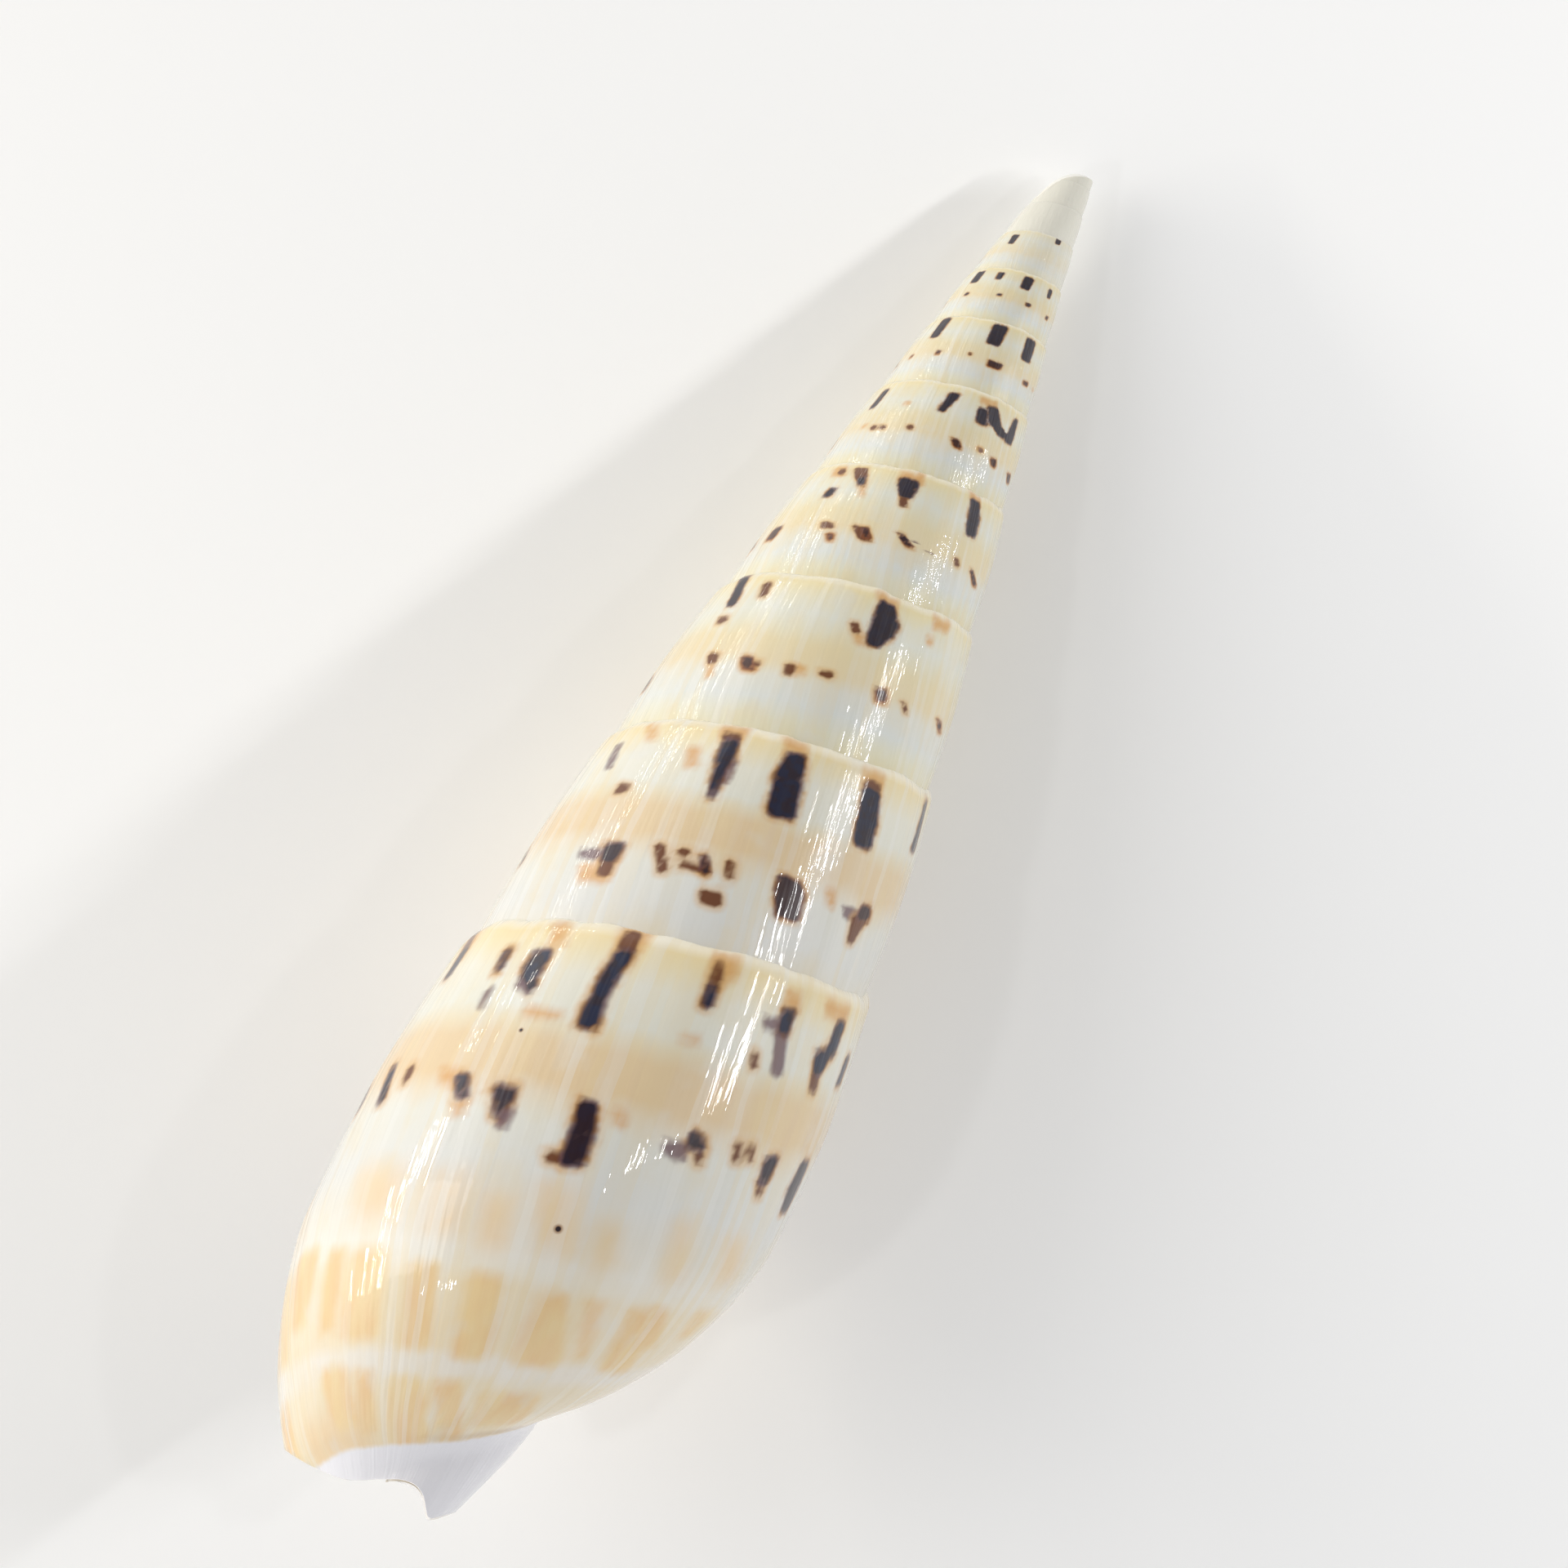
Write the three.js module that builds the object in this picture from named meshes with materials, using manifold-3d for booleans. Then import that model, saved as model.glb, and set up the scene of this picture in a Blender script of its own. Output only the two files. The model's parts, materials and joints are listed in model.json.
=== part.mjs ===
// A marlinspike shell: a tall, smooth auger shell that grew in one piece, lying on its open side.
// Millimetres, +Z up. The shell is first drawn upright about its own axis, with the point where its
// growth began at the origin and the axis running down -Z, and is then laid down as it comes to rest.
// A growth turn of 0 is the middle of the shell's back on the last whorl, and turns rise to the lip.

import * as THREE from 'three';
import { mergeVertices } from 'three/addons/utils/BufferGeometryUtils.js';
import Module from 'manifold-3d';

const mergeTolerance = 1e-4;

// Growth: what one turn about the axis does to every length
const heightGrowth = 1.285;
const radiusPower = 0.985;
const lipTurn = 0.325;
const firstTurn = lipTurn - 10.8;
const stepsPerTurn = 40;
const backAngle = -Math.PI / 2;
const growthLean = 1 / stepsPerTurn;
const leanPower = 1.4;
const leanLimit = 0.045;

// The last whorl at growth turn 0, measured from where growth began
const sutureHeight = 100;
const sutureRadius = 19.85;
const whorlBulge = 0.02;
const sutureStep = 0.033;
const whorlSteps = 4;
const taperStart = 76;
const taperRate = 0.0028;
const taperSoftness = 8;
const spireDrift = 0.7;
const spireDriftReach = 15;

// The base below the last whorl's side, as radius and height: round base, groove, fasciole, canal end
const baseOutline = [
  [23.7, 131.2],
  [22.8, 134.0],
  [21.7, 137.0],
  [20.3, 140.0],
  [18.5, 142.8],
  [16.5, 145.3],
  [14.3, 147.4],
  [12.0, 149.0],
  [10.3, 150.3],
  [9.2, 151.6],
  [8.9, 153.4],
  [8.3, 155.6],
  [7.2, 158.3],
  [5.8, 161.2],
  [4.7, 163.4],
];
const canalCentreHeight = 220;
const peripheryPull = 0.5;
const peripheryShares = [0.35, 1, 0.6, 0.2];
const peripherySteps = 12;

// The hollow inside the last whorls, as the shares of the outline that its wall follows, then the
// columella and the glazed side of the whorl before it
const wall = 1.75;
const hollowOuterSteps = 10;
const hollowFrom = 0.065;
const hollowTo = 0.86;
const columella = [
  [5.2, 156.6],
  [4.0, 154.0],
  [3.7, 148.0],
  [3.9, 141.0],
  [4.4, 133.5],
  [5.2, 127.0],
];
const parietalWall = [
  [7.2, 120.2],
  [9.2, 117.1],
  [12.2, 114.7],
  [15.0, 111.5],
  [17.0, 107.9],
  [18.0, 105.2],
];
const hollowTurns = 1.1;
const hollowFadeSteps = 8;
const hollowEndSize = 0.02;
const lipOvershoot = 0.01;

// The front margin, seen on the shell's back: across the shell and down from the growth point
const marginOutline = [
  [-60, 140.0],
  [-19.0, 152.8],
  [-17.0, 155.2],
  [-15.0, 156.2],
  [-11.5, 156.7],
  [-8.5, 156.7],
  [-6.2, 156.4],
  [-3.8, 155.2],
  [-2.0, 154.4],
  [-0.6, 154.3],
  [0.5, 154.9],
  [1.2, 155.8],
  [1.8, 156.3],
  [2.8, 155.6],
  [4.8, 153.6],
  [7.5, 150.8],
  [12.0, 147.5],
  [60, 147.5],
];
const marginDepth = 80;
const marginReach = 40;

// The worn point of the spire: a blunt cap, tilted to one side
const wornTipHeight = 8.75;
const wornTipRadii = [0, 0.8, 1.5, 2.1, 2.7, 3.3, 4];
const wornTipBluntness = 4.6;
const wornTipTilt = THREE.MathUtils.degToRad(16);
const wornTipSides = 24;
const wornTipSkirt = 0.55;

// How the shell lies: its back up, the spire's underside level, on a narrow flat that keeps it still
const restPitch = THREE.MathUtils.degToRad(8.9);
const restFlatDepth = 0.3;

const wasm = await Module();
wasm.setup();

const logGrowth = Math.log(heightGrowth);

function taper(height) {
  const past = height - taperStart;
  return 1 - taperRate * 0.5 * (past + Math.hypot(past, taperSoftness));
}

// How far a growth line has turned back at this height of the last whorl
function lean(height) {
  const side = sutureHeight * (heightGrowth - 1);
  const share = Math.max(0, height - sutureHeight) / side;
  return -Math.min(leanLimit, growthLean * share ** leanPower);
}

// A point of the shell: a radius and a height of the last whorl, carried back along the growth
function grow(stage, radius, height) {
  const turn = stage + lean(height);
  const down = height * Math.exp(logGrowth * turn);
  const out = radius * Math.exp(logGrowth * radiusPower * turn) * taper(down);
  const angle = backAngle - 2 * Math.PI * turn;
  const drift = spireDrift * Math.exp(-((down / spireDriftReach) ** 2));
  return new THREE.Vector3(out * Math.cos(angle) + drift, out * Math.sin(angle), -down);
}

// The side of a whorl from its suture to the next one: nearly flat, standing a little proud above
function whorlSide() {
  const nextHeight = sutureHeight * heightGrowth;
  const nextRadius = sutureRadius * heightGrowth ** radiusPower;
  const side = new THREE.Vector2(nextRadius - sutureRadius, nextHeight - sutureHeight);
  const length = side.length();
  const points = [];
  for (let i = 0; i <= whorlSteps; i += 1) {
    const share = i / whorlSteps;
    const swell = whorlBulge * length * 4 * share * (1 - share);
    const radius = sutureRadius + side.x * share + (swell * side.y) / length;
    const height = sutureHeight + side.y * share - (swell * side.x) / length;
    points.push(new THREE.Vector2(radius - sutureStep * share * length, height));
  }
  return points;
}

const sidePoints = whorlSide();
const basePoints = baseOutline.map(([radius, height]) => new THREE.Vector2(radius, height));
const outline = [...sidePoints, ...basePoints];
const sideLast = sidePoints.length - 1;
const outlineLast = outline.length - 1;

// The same outline where no whorl covers it, rounder from the side into the base
const roundOutline = outline.map((spot, i) => {
  const share = peripheryShares[i - sideLast + 1] ?? 0;
  return new THREE.Vector2(spot.x - peripheryPull * share, spot.y);
});

// A closed surface put together from quads and fans, whose corners are given clockwise from outside
class Skin {
  constructor() {
    this.positions = [];
    this.faces = [];
  }

  point(vector) {
    this.positions.push(vector.x, vector.y, vector.z);
    return this.positions.length / 3 - 1;
  }

  triangle(a, b, c) {
    this.faces.push(a, c, b);
  }

  quad(a, b, c, d) {
    this.triangle(a, b, c);
    this.triangle(a, c, d);
  }

  fan(loop, centre) {
    const middle = this.point(centre);
    loop.forEach((from, i) => this.triangle(from, loop[(i + 1) % loop.length], middle));
  }

  geometry() {
    const geometry = new THREE.BufferGeometry();
    geometry.setAttribute('position', new THREE.Float32BufferAttribute(this.positions, 3));
    geometry.setIndex(this.faces);
    return mergeVertices(geometry, mergeTolerance);
  }
}

// The outside as if the shell were filled: the spire's coiled side, the last whorl down to the canal
function outsideSkin() {
  const skin = new Skin();
  const sections = Math.round((lipTurn - firstTurn) * stepsPerTurn);
  const seamShift = stepsPerTurn - Math.round(growthLean * stepsPerTurn);
  const firstOpen = sections - seamShift;
  const ids = [];
  for (let i = 0; i <= sections; i += 1) {
    const last = i >= firstOpen ? outlineLast : sideLast;
    const stage = firstTurn + i / stepsPerTurn;
    const ease = THREE.MathUtils.smoothstep(i, firstOpen, firstOpen + peripherySteps);
    const section = outline.slice(0, last + 1).map((spot, j) => {
      const at = spot.clone().lerp(roundOutline[j], ease);
      return skin.point(grow(stage, at.x, at.y));
    });
    ids.push(section);
  }
  for (let i = 0; i < sections; i += 1) {
    const shared = Math.min(ids[i].length, ids[i + 1].length) - 1;
    for (let j = 0; j < shared; j += 1) {
      skin.quad(ids[i][j], ids[i][j + 1], ids[i + 1][j + 1], ids[i + 1][j]);
    }
  }
  // the ledge where the top of each whorl stands out over the whorl before it
  for (let i = 0; i < firstOpen; i += 1) {
    const over = i + seamShift;
    skin.quad(ids[i][sideLast], ids[over][0], ids[over + 1][0], ids[i + 1][sideLast]);
  }
  // the mouth's plane, from the lip in to the whorl before it
  const lip = ids[sections];
  const inner = ids[firstOpen];
  for (let j = 0; j < sideLast; j += 1) skin.triangle(lip[j], lip[j + 1], inner[sideLast]);
  for (let j = sideLast; j < outlineLast; j += 1) {
    skin.quad(lip[j], lip[j + 1], inner[j + 1], inner[j]);
  }
  // below the canal's end, which the front margin cuts off
  const canalLoop = ids.slice(firstOpen).map((section) => section[outlineLast]).reverse();
  skin.fan(canalLoop, new THREE.Vector3(0, 0, -canalCentreHeight));
  // the first turn's end, which the wear takes off
  const rim = [];
  for (let i = 0; i <= seamShift; i += 1) rim.push(ids[i][0]);
  for (let j = sideLast; j > 0; j -= 1) rim.push(ids[0][j]);
  skin.fan(rim, new THREE.Vector3(spireDrift, 0, -sutureHeight * Math.exp(logGrowth * firstTurn)));
  return skin.geometry();
}

// The hollow's section at growth turn 0: the outline set in by the wall, the columella and the
// glazed side of the whorl before it
function hollowSection() {
  const curve = new THREE.SplineCurve(outline);
  const section = [];
  for (let i = 0; i < hollowOuterSteps; i += 1) {
    const share = hollowFrom + ((hollowTo - hollowFrom) * i) / (hollowOuterSteps - 1);
    const spot = curve.getPointAt(share);
    const tangent = curve.getTangentAt(share);
    section.push(new THREE.Vector2(spot.x - tangent.y * wall, spot.y + tangent.x * wall));
  }
  for (const [radius, height] of [...columella, ...parietalWall]) {
    section.push(new THREE.Vector2(radius, height));
  }
  return section;
}

function hollowSkin() {
  const skin = new Skin();
  const section = hollowSection();
  const centre = section.reduce((sum, spot) => sum.add(spot), new THREE.Vector2());
  centre.divideScalar(section.length);
  const steps = Math.round(hollowTurns * stepsPerTurn);
  const rings = [];
  for (let i = 0; i <= steps; i += 1) {
    const fade = Math.min(1, (steps - i) / hollowFadeSteps);
    const size = THREE.MathUtils.lerp(hollowEndSize, 1, Math.sqrt(1 - (1 - fade) ** 2));
    const stage = lipTurn + lipOvershoot - i / stepsPerTurn;
    const ring = section.map((spot) => {
      const at = centre.clone().lerp(spot, size);
      return skin.point(grow(stage, at.x, at.y));
    });
    rings.push(ring);
  }
  for (let i = 0; i < steps; i += 1) {
    section.forEach((spot, j) => {
      const next = (j + 1) % section.length;
      skin.quad(rings[i][next], rings[i][j], rings[i + 1][j], rings[i + 1][next]);
    });
  }
  const mouth = lipTurn + lipOvershoot;
  const deep = mouth - steps / stepsPerTurn;
  skin.fan(rings[0], grow(mouth, centre.x, centre.y));
  skin.fan([...rings[steps]].reverse(), grow(deep, centre.x, centre.y));
  return skin.geometry();
}

// What lies beyond the front margin, as a block with the margin's outline
function beyondMargin() {
  const shape = new THREE.Shape();
  const deepest = marginOutline[0][1] + marginDepth;
  shape.moveTo(marginOutline[0][0], -deepest);
  shape.lineTo(marginOutline[marginOutline.length - 1][0], -deepest);
  for (const [across, down] of [...marginOutline].reverse()) shape.lineTo(across, -down);
  const block = new THREE.ExtrudeGeometry(shape, { depth: 2 * marginReach, bevelEnabled: false });
  block.translate(0, 0, -marginReach);
  block.rotateX(Math.PI / 2);
  block.deleteAttribute('normal');
  block.deleteAttribute('uv');
  return mergeVertices(block, mergeTolerance);
}

function toSolid(geometry) {
  return new wasm.Manifold(
    new wasm.Mesh({
      numProp: 3,
      vertProperties: new Float32Array(geometry.attributes.position.array),
      triVerts: new Uint32Array(geometry.index.array),
    }),
  );
}

function toGeometry(solid) {
  const mesh = solid.getMesh();
  const geometry = new THREE.BufferGeometry();
  geometry.setAttribute('position', new THREE.BufferAttribute(mesh.vertProperties, 3));
  geometry.setIndex(new THREE.BufferAttribute(mesh.triVerts, 1));
  return geometry;
}

// What the wear of the point leaves: all that lies within a blunt, tilted cap
function withinWear() {
  const depths = wornTipRadii.map((radius) => (radius * radius) / wornTipBluntness);
  const profile = wornTipRadii.map((radius, i) => new THREE.Vector2(radius, -depths[i]));
  const wide = canalCentreHeight;
  profile.push(new THREE.Vector2(wide, -wide * wornTipSkirt));
  profile.push(new THREE.Vector2(wide, -2 * wide));
  profile.push(new THREE.Vector2(0, -2 * wide));
  const cap = new THREE.LatheGeometry(profile.reverse(), wornTipSides);
  cap.rotateX(Math.PI / 2);
  cap.rotateY(-wornTipTilt);
  cap.translate(spireDrift, 0, -wornTipHeight);
  cap.deleteAttribute('normal');
  cap.deleteAttribute('uv');
  return mergeVertices(cap, mergeTolerance);
}

// From upright about its own axis to lying down, spire to +X and back to +Z
function layDown(geometry) {
  const onItsSide = new THREE.Matrix4().makeBasis(
    new THREE.Vector3(0, -1, 0),
    new THREE.Vector3(0, 0, -1),
    new THREE.Vector3(1, 0, 0),
  );
  geometry.applyMatrix4(onItsSide);
  geometry.rotateY(restPitch);
  geometry.computeBoundingBox();
  const { min, max } = geometry.boundingBox;
  geometry.translate(-(min.x + max.x) / 2, -(min.y + max.y) / 2, -min.z - restFlatDepth);
  return geometry;
}

function belowRest() {
  const size = 2 * sutureHeight;
  const block = new THREE.BoxGeometry(size, size, size);
  block.translate(0, 0, -size / 2);
  block.deleteAttribute('normal');
  block.deleteAttribute('uv');
  return mergeVertices(block, mergeTolerance);
}

const filled = toSolid(outsideSkin());
const worn = filled.intersect(toSolid(withinWear())).subtract(toSolid(beyondMargin()));
const open = worn.subtract(toSolid(hollowSkin()));
const lying = toSolid(layDown(toGeometry(open))).subtract(toSolid(belowRest()));

const polished = new THREE.MeshStandardMaterial({ color: 0xe9dcc6, roughness: 0.18, metalness: 0 });
const shape = toGeometry(lying);
shape.computeVertexNormals();
const shell = new THREE.Mesh(shape, polished);
shell.name = 'shell';

const group = new THREE.Group();
group.add(shell);

export default group;
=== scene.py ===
import json
import math
import random

import bpy
import numpy as np
from mathutils import Euler, Matrix, Vector, noise

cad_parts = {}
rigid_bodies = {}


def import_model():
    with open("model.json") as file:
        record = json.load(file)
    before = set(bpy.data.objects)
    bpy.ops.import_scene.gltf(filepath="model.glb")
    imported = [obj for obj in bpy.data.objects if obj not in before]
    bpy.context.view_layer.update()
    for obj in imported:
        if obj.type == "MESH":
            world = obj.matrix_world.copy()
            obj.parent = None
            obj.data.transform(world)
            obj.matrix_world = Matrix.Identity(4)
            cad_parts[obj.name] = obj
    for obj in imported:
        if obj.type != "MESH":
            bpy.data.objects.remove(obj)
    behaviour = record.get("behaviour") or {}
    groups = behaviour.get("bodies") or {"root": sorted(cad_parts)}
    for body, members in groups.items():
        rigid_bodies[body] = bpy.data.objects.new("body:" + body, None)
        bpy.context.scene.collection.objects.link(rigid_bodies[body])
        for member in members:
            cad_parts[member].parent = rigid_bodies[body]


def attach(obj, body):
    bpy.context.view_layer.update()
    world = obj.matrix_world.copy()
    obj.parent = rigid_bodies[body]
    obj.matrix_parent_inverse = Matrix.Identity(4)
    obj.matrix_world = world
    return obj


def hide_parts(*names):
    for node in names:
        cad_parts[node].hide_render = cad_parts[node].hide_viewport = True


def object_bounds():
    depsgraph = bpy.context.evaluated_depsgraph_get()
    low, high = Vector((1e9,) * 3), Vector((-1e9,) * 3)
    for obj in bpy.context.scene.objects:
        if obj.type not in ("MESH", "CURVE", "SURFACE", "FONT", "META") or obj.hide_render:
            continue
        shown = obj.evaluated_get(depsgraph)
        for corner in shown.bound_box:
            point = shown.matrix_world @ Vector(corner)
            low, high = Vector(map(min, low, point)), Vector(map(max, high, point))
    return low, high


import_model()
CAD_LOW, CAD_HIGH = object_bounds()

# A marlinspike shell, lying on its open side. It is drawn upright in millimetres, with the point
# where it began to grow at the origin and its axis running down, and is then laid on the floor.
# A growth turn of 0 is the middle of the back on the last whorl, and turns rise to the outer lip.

MM = 0.001
# what a millimetre is on the growth map, which measures lengths in tenths of a metre
ON_MAP = 0.01
# spots closer than this become one: in a sweep, where the spun cap closes, and along a rim
SAME_SPOT, SPIN_GAP, SLIVER = 0.0005, 0.001, 0.04

# Growth: what one turn about the axis does to every length
HEIGHT_GROWTH = 1.285
RADIUS_GROWTH = HEIGHT_GROWTH ** 0.985
STEPS_PER_TURN = 200
LIP_TURN = 0.325
TURNS = 10.8
FIRST_TURN = LIP_TURN - TURNS
# how far back from the lip the base shows, as no later whorl covers it there
SEAM_TURNS = 0.975
FIRST_OPEN = LIP_TURN - SEAM_TURNS
BACK_ANGLE = -math.pi / 2
LEAN, LEAN_POWER, LEAN_LIMIT = 0.025, 1.4, 0.045

# The last whorl's side at growth turn 0
SUTURE_HEIGHT = 100.0
SUTURE_RADIUS = 19.85
SIDE_DOWN = SUTURE_HEIGHT * (HEIGHT_GROWTH - 1)
SIDE_OUT = SUTURE_RADIUS * (RADIUS_GROWTH - 1)
SIDE_LENGTH = math.hypot(SIDE_DOWN, SIDE_OUT)
WHORL_BULGE = 0.02
SUTURE_STEP = 0.033
TAPER_START, TAPER_RATE, TAPER_SOFTNESS = 76.0, 0.0028, 8.0
DRIFT, DRIFT_REACH = 0.7, 15.0

# The base below the side, as radius and height: round base, groove, fasciole, canal. Its curve
# begins a little above the side's end, at this share of the side.
BASE = [
    (23.7, 131.2), (22.8, 134.0), (21.7, 137.0), (20.3, 140.0), (18.5, 142.8),
    (16.5, 145.3), (14.3, 147.4), (12.0, 149.0), (10.3, 150.3), (9.2, 151.6),
    (8.9, 153.4), (8.3, 155.6), (7.2, 158.3), (5.8, 161.2), (4.7, 163.4),
]
BASE_FROM = 0.93
# What follows it, so that the front margin cuts even faces all round
TAIL = [(4.1, 165.4), (3.8, 168.5), (3.6, 174.0), (3.3, 184.0), (2.9, 197.0)]
CANAL_CENTRE = 230.0
FASCIOLE_AT, GROOVE_DEPTH, GROOVE_WIDTH = 55.3, 0.28, 0.7
# how much higher the groove runs towards the lip, and from which growth turn to which
FASCIOLE_RISE, RISE_FROM, RISE_TO = 2.0, 0.0, 0.21

# Where no whorl covers it, the side runs round into the base: height and radius
OPEN_FROM, OPEN_TURNS = 0.5, 0.3
OPEN = [
    (118.0, 23.15), (122.0, 23.48), (125.5, 23.69), (128.5, 23.78), (131.2, 23.42), (134.0, 22.75),
]

# The rounded top edge of a whorl, as distance along it, radius and height, and how many lines
# follow the growth on the side, the base and the tail
EDGE = [(0.15, 19.22, 100.05), (0.4, 19.44, 100.2), (0.7, 19.70, 100.46), (1.0, 19.93, 100.84)]
SIDE_LINES, BASE_LINES, TAIL_LINES = 32, 45, 14
EDGE_WIDTH = 1.3

# The suture's waves: how fast they follow each other, a row of the noise, and their height
SUTURE_WAVES = [(9.0, 3.1, 0.4), (31.0, 7.7, 0.42), (73.0, 1.3, 0.16)]
# how far they reach above the next suture, past it on the base, and below their own suture
WAVE_ABOVE, WAVE_PAST, WAVE_BELOW = 5, 4, 6
# Low ridges: how fast they change round the whorl and down it, a row of the noise, and their height
GROWTH_RIDGES = [(13.0, 0.03, 5.0, 0.09), (41.0, 0.05, 9.0, 0.05)]
RIDGES_FROM, RIDGES_FULL = 0.9, 4

# The hollow: the wall's thickness inside and at the lip, then the columella and the parietal glaze
WALL, LIP_WALL, LIP_WALL_TURNS = 1.75, 0.85, 0.12
HOLLOW_LINES, HOLLOW_FROM, HOLLOW_TO = 44, 0.065, 0.86
WALL_SPOTS, AHEAD = 12, 0.5
# how much closer the lines of the hollow run at its narrow end, next to the suture
HOLLOW_BUNCH = 0.6
COLUMELLA = [(5.2, 156.6), (4.0, 154.0), (3.7, 148.0), (3.9, 141.0), (4.4, 133.5), (5.2, 127.0)]
PARIETAL = [(7.2, 120.2), (9.2, 117.1), (12.2, 114.7), (15.0, 111.5), (17.0, 107.9), (18.0, 105.2)]
HOLLOW_TURNS, HOLLOW_FADE, HOLLOW_END, LIP_OVERSHOOT = 1.1, 0.2, 0.02, 1.5

# The front margin, across the shell and down, and the worn point
MARGIN = [
    (-60, 132.0), (-19.6, 150.6), (-17.8, 153.5), (-15.2, 155.7), (-11.5, 156.6), (-8.5, 156.7),
    (-6.2, 156.4), (-3.8, 155.2), (-2.0, 154.4), (-0.6, 154.3), (0.5, 154.9), (1.2, 155.8),
    (1.8, 156.3), (2.8, 155.6), (4.8, 153.6), (7.5, 150.8), (12.0, 147.5), (60, 147.5),
]
MARGIN_STEPS, MARGIN_DEPTH, MARGIN_REACH = 4, 108.0, 40.0
TIP_HEIGHT, TIP_BLUNTNESS, TIP_TILT, TIP_SKIRT = 8.75, 4.6, math.radians(16), 0.55
CAP_SIDES = 72
TIP_RADII = [0, 0.4, 0.8, 1.15, 1.5, 1.8, 2.1, 2.4, 2.7, 3.0, 3.3, 4.0]

REST_PITCH = math.radians(8.9)
REST_FLAT, REST_SOFTNESS = 0.3, 0.6
SHARP_ANGLE = math.radians(50)

OUTSIDE, INSIDE, MARGIN_CUT, WORN = range(4)
FINISHES = [
    bpy.data.materials.new(name)
    for name in ("glazed_outside", "glazed_inside", "front_margin", "worn_point")
]


# Shared ways of working

def on_its_own(piece):
    """Leaves the piece as the only one selected."""
    bpy.ops.object.select_all(action="DESELECT")
    piece.select_set(True)
    bpy.context.view_layer.objects.active = piece


def enter():
    bpy.ops.object.mode_set(mode="EDIT")


def leave():
    bpy.ops.object.mode_set(mode="OBJECT")


def edit(piece, action="DESELECT"):
    """Enters edit mode with none of the vertices selected, or all of them."""
    on_its_own(piece)
    enter()
    bpy.ops.mesh.select_mode(type="VERT")
    bpy.ops.mesh.select_all(action=action)


def select_vertices(piece, chosen):
    """Enters edit mode with only these vertices selected."""
    edit(piece)
    leave()
    for i in chosen:
        piece.data.vertices[i].select = True
    enter()


def extrude(way):
    bpy.ops.mesh.extrude_region_move(TRANSFORM_OT_translate={"value": way})


def face_outward():
    """Turns all faces outward and leaves edit mode."""
    bpy.ops.mesh.select_all(action="SELECT")
    bpy.ops.mesh.normals_make_consistent(inside=False)
    leave()


def upright(spots, back=0.0):
    """Spots given across and down, in millimetres, on an upright plane."""
    return [Vector((across, -back, -down)) * MM for across, down in spots]


def draw_line(name, spots, closed=False):
    """A chain of edges, drawn spot after spot."""
    bpy.ops.object.select_all(action="DESELECT")
    bpy.ops.mesh.primitive_plane_add(size=MM)
    piece = bpy.context.object
    piece.name = name
    edit(piece, "SELECT")
    bpy.ops.mesh.merge(type="CENTER")
    bpy.ops.transform.translate(value=spots[0])
    # entering edit mode afresh keeps the spots in their order
    leave()
    enter()
    for here, there in zip(spots, spots[1:]):
        extrude(there - here)
    leave()
    if closed:
        select_vertices(piece, (0, len(spots) - 1))
        bpy.ops.mesh.edge_face_add()
        leave()
    return piece


def apply(piece, kind, **settings):
    """A modifier with these settings, applied at once."""
    on_its_own(piece)
    modifier = piece.modifiers.new(kind.lower(), kind)
    for name, value in settings.items():
        setattr(modifier, name, value)
    bpy.ops.object.modifier_apply(modifier=modifier.name)


def choose(piece, *names):
    """Adds the vertices of these groups to those that are selected."""
    for name in names:
        piece.vertex_groups.active_index = piece.vertex_groups[name].index
        bpy.ops.object.vertex_group_select()


def finish_all(piece, place):
    """Gives the piece the shell's four finishes, and all its faces one of them."""
    piece.data.materials.clear()
    for finish in FINISHES:
        piece.data.materials.append(finish)
    for face in piece.data.polygons:
        face.material_index = place


def group(piece, name, ids):
    piece.vertex_groups.new(name=name).add([int(i) for i in ids], 1.0, "REPLACE")


def discard(piece):
    bpy.data.objects.remove(piece)


def smoothstep(low, high, value):
    share = min(1.0, max(0.0, (value - low) / (high - low)))
    return share * share * (3 - 2 * share)


def curve_through(keys):
    """A smooth curve through rows of numbers, as a function of each row's first number."""
    def at(along):
        i = 0
        while i < len(keys) - 2 and keys[i + 1][0] < along:
            i += 1
        before, here, there, after = (keys[max(0, min(len(keys) - 1, i + k))] for k in (-1, 0, 1, 2))
        span = there[0] - here[0]
        t = (along - here[0]) / span
        values = []
        for k in range(1, len(here)):
            slope_a = (there[k] - before[k]) / (there[0] - before[0]) * span
            slope_b = (after[k] - here[k]) / (after[0] - here[0]) * span
            values.append(
                here[k] * (2 * t**3 - 3 * t**2 + 1) + there[k] * (3 * t**2 - 2 * t**3)
                + slope_a * (t**3 - 2 * t**2 + t) + slope_b * (t**3 - t**2)
            )
        return values
    return at


def with_lengths(spots, start=0.0):
    """The spots, each with its length along the chain in front."""
    rows = [(start, *spots[0])]
    for here, there in zip(spots, spots[1:]):
        start += math.dist(here, there)
        rows.append((start, *there))
    return rows


# How the shell grows

def taper(down):
    """A factor on the radius, which makes the last whorls a little slimmer."""
    past = down - TAPER_START
    return 1 - TAPER_RATE * 0.5 * (past + math.hypot(past, TAPER_SOFTNESS))


def lean(height):
    """By how many turns a spot low on a whorl lies behind, because the growth lines lean."""
    share = max(0.0, height - SUTURE_HEIGHT) / SIDE_DOWN
    return -min(LEAN_LIMIT, LEAN * share**LEAN_POWER)


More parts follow.
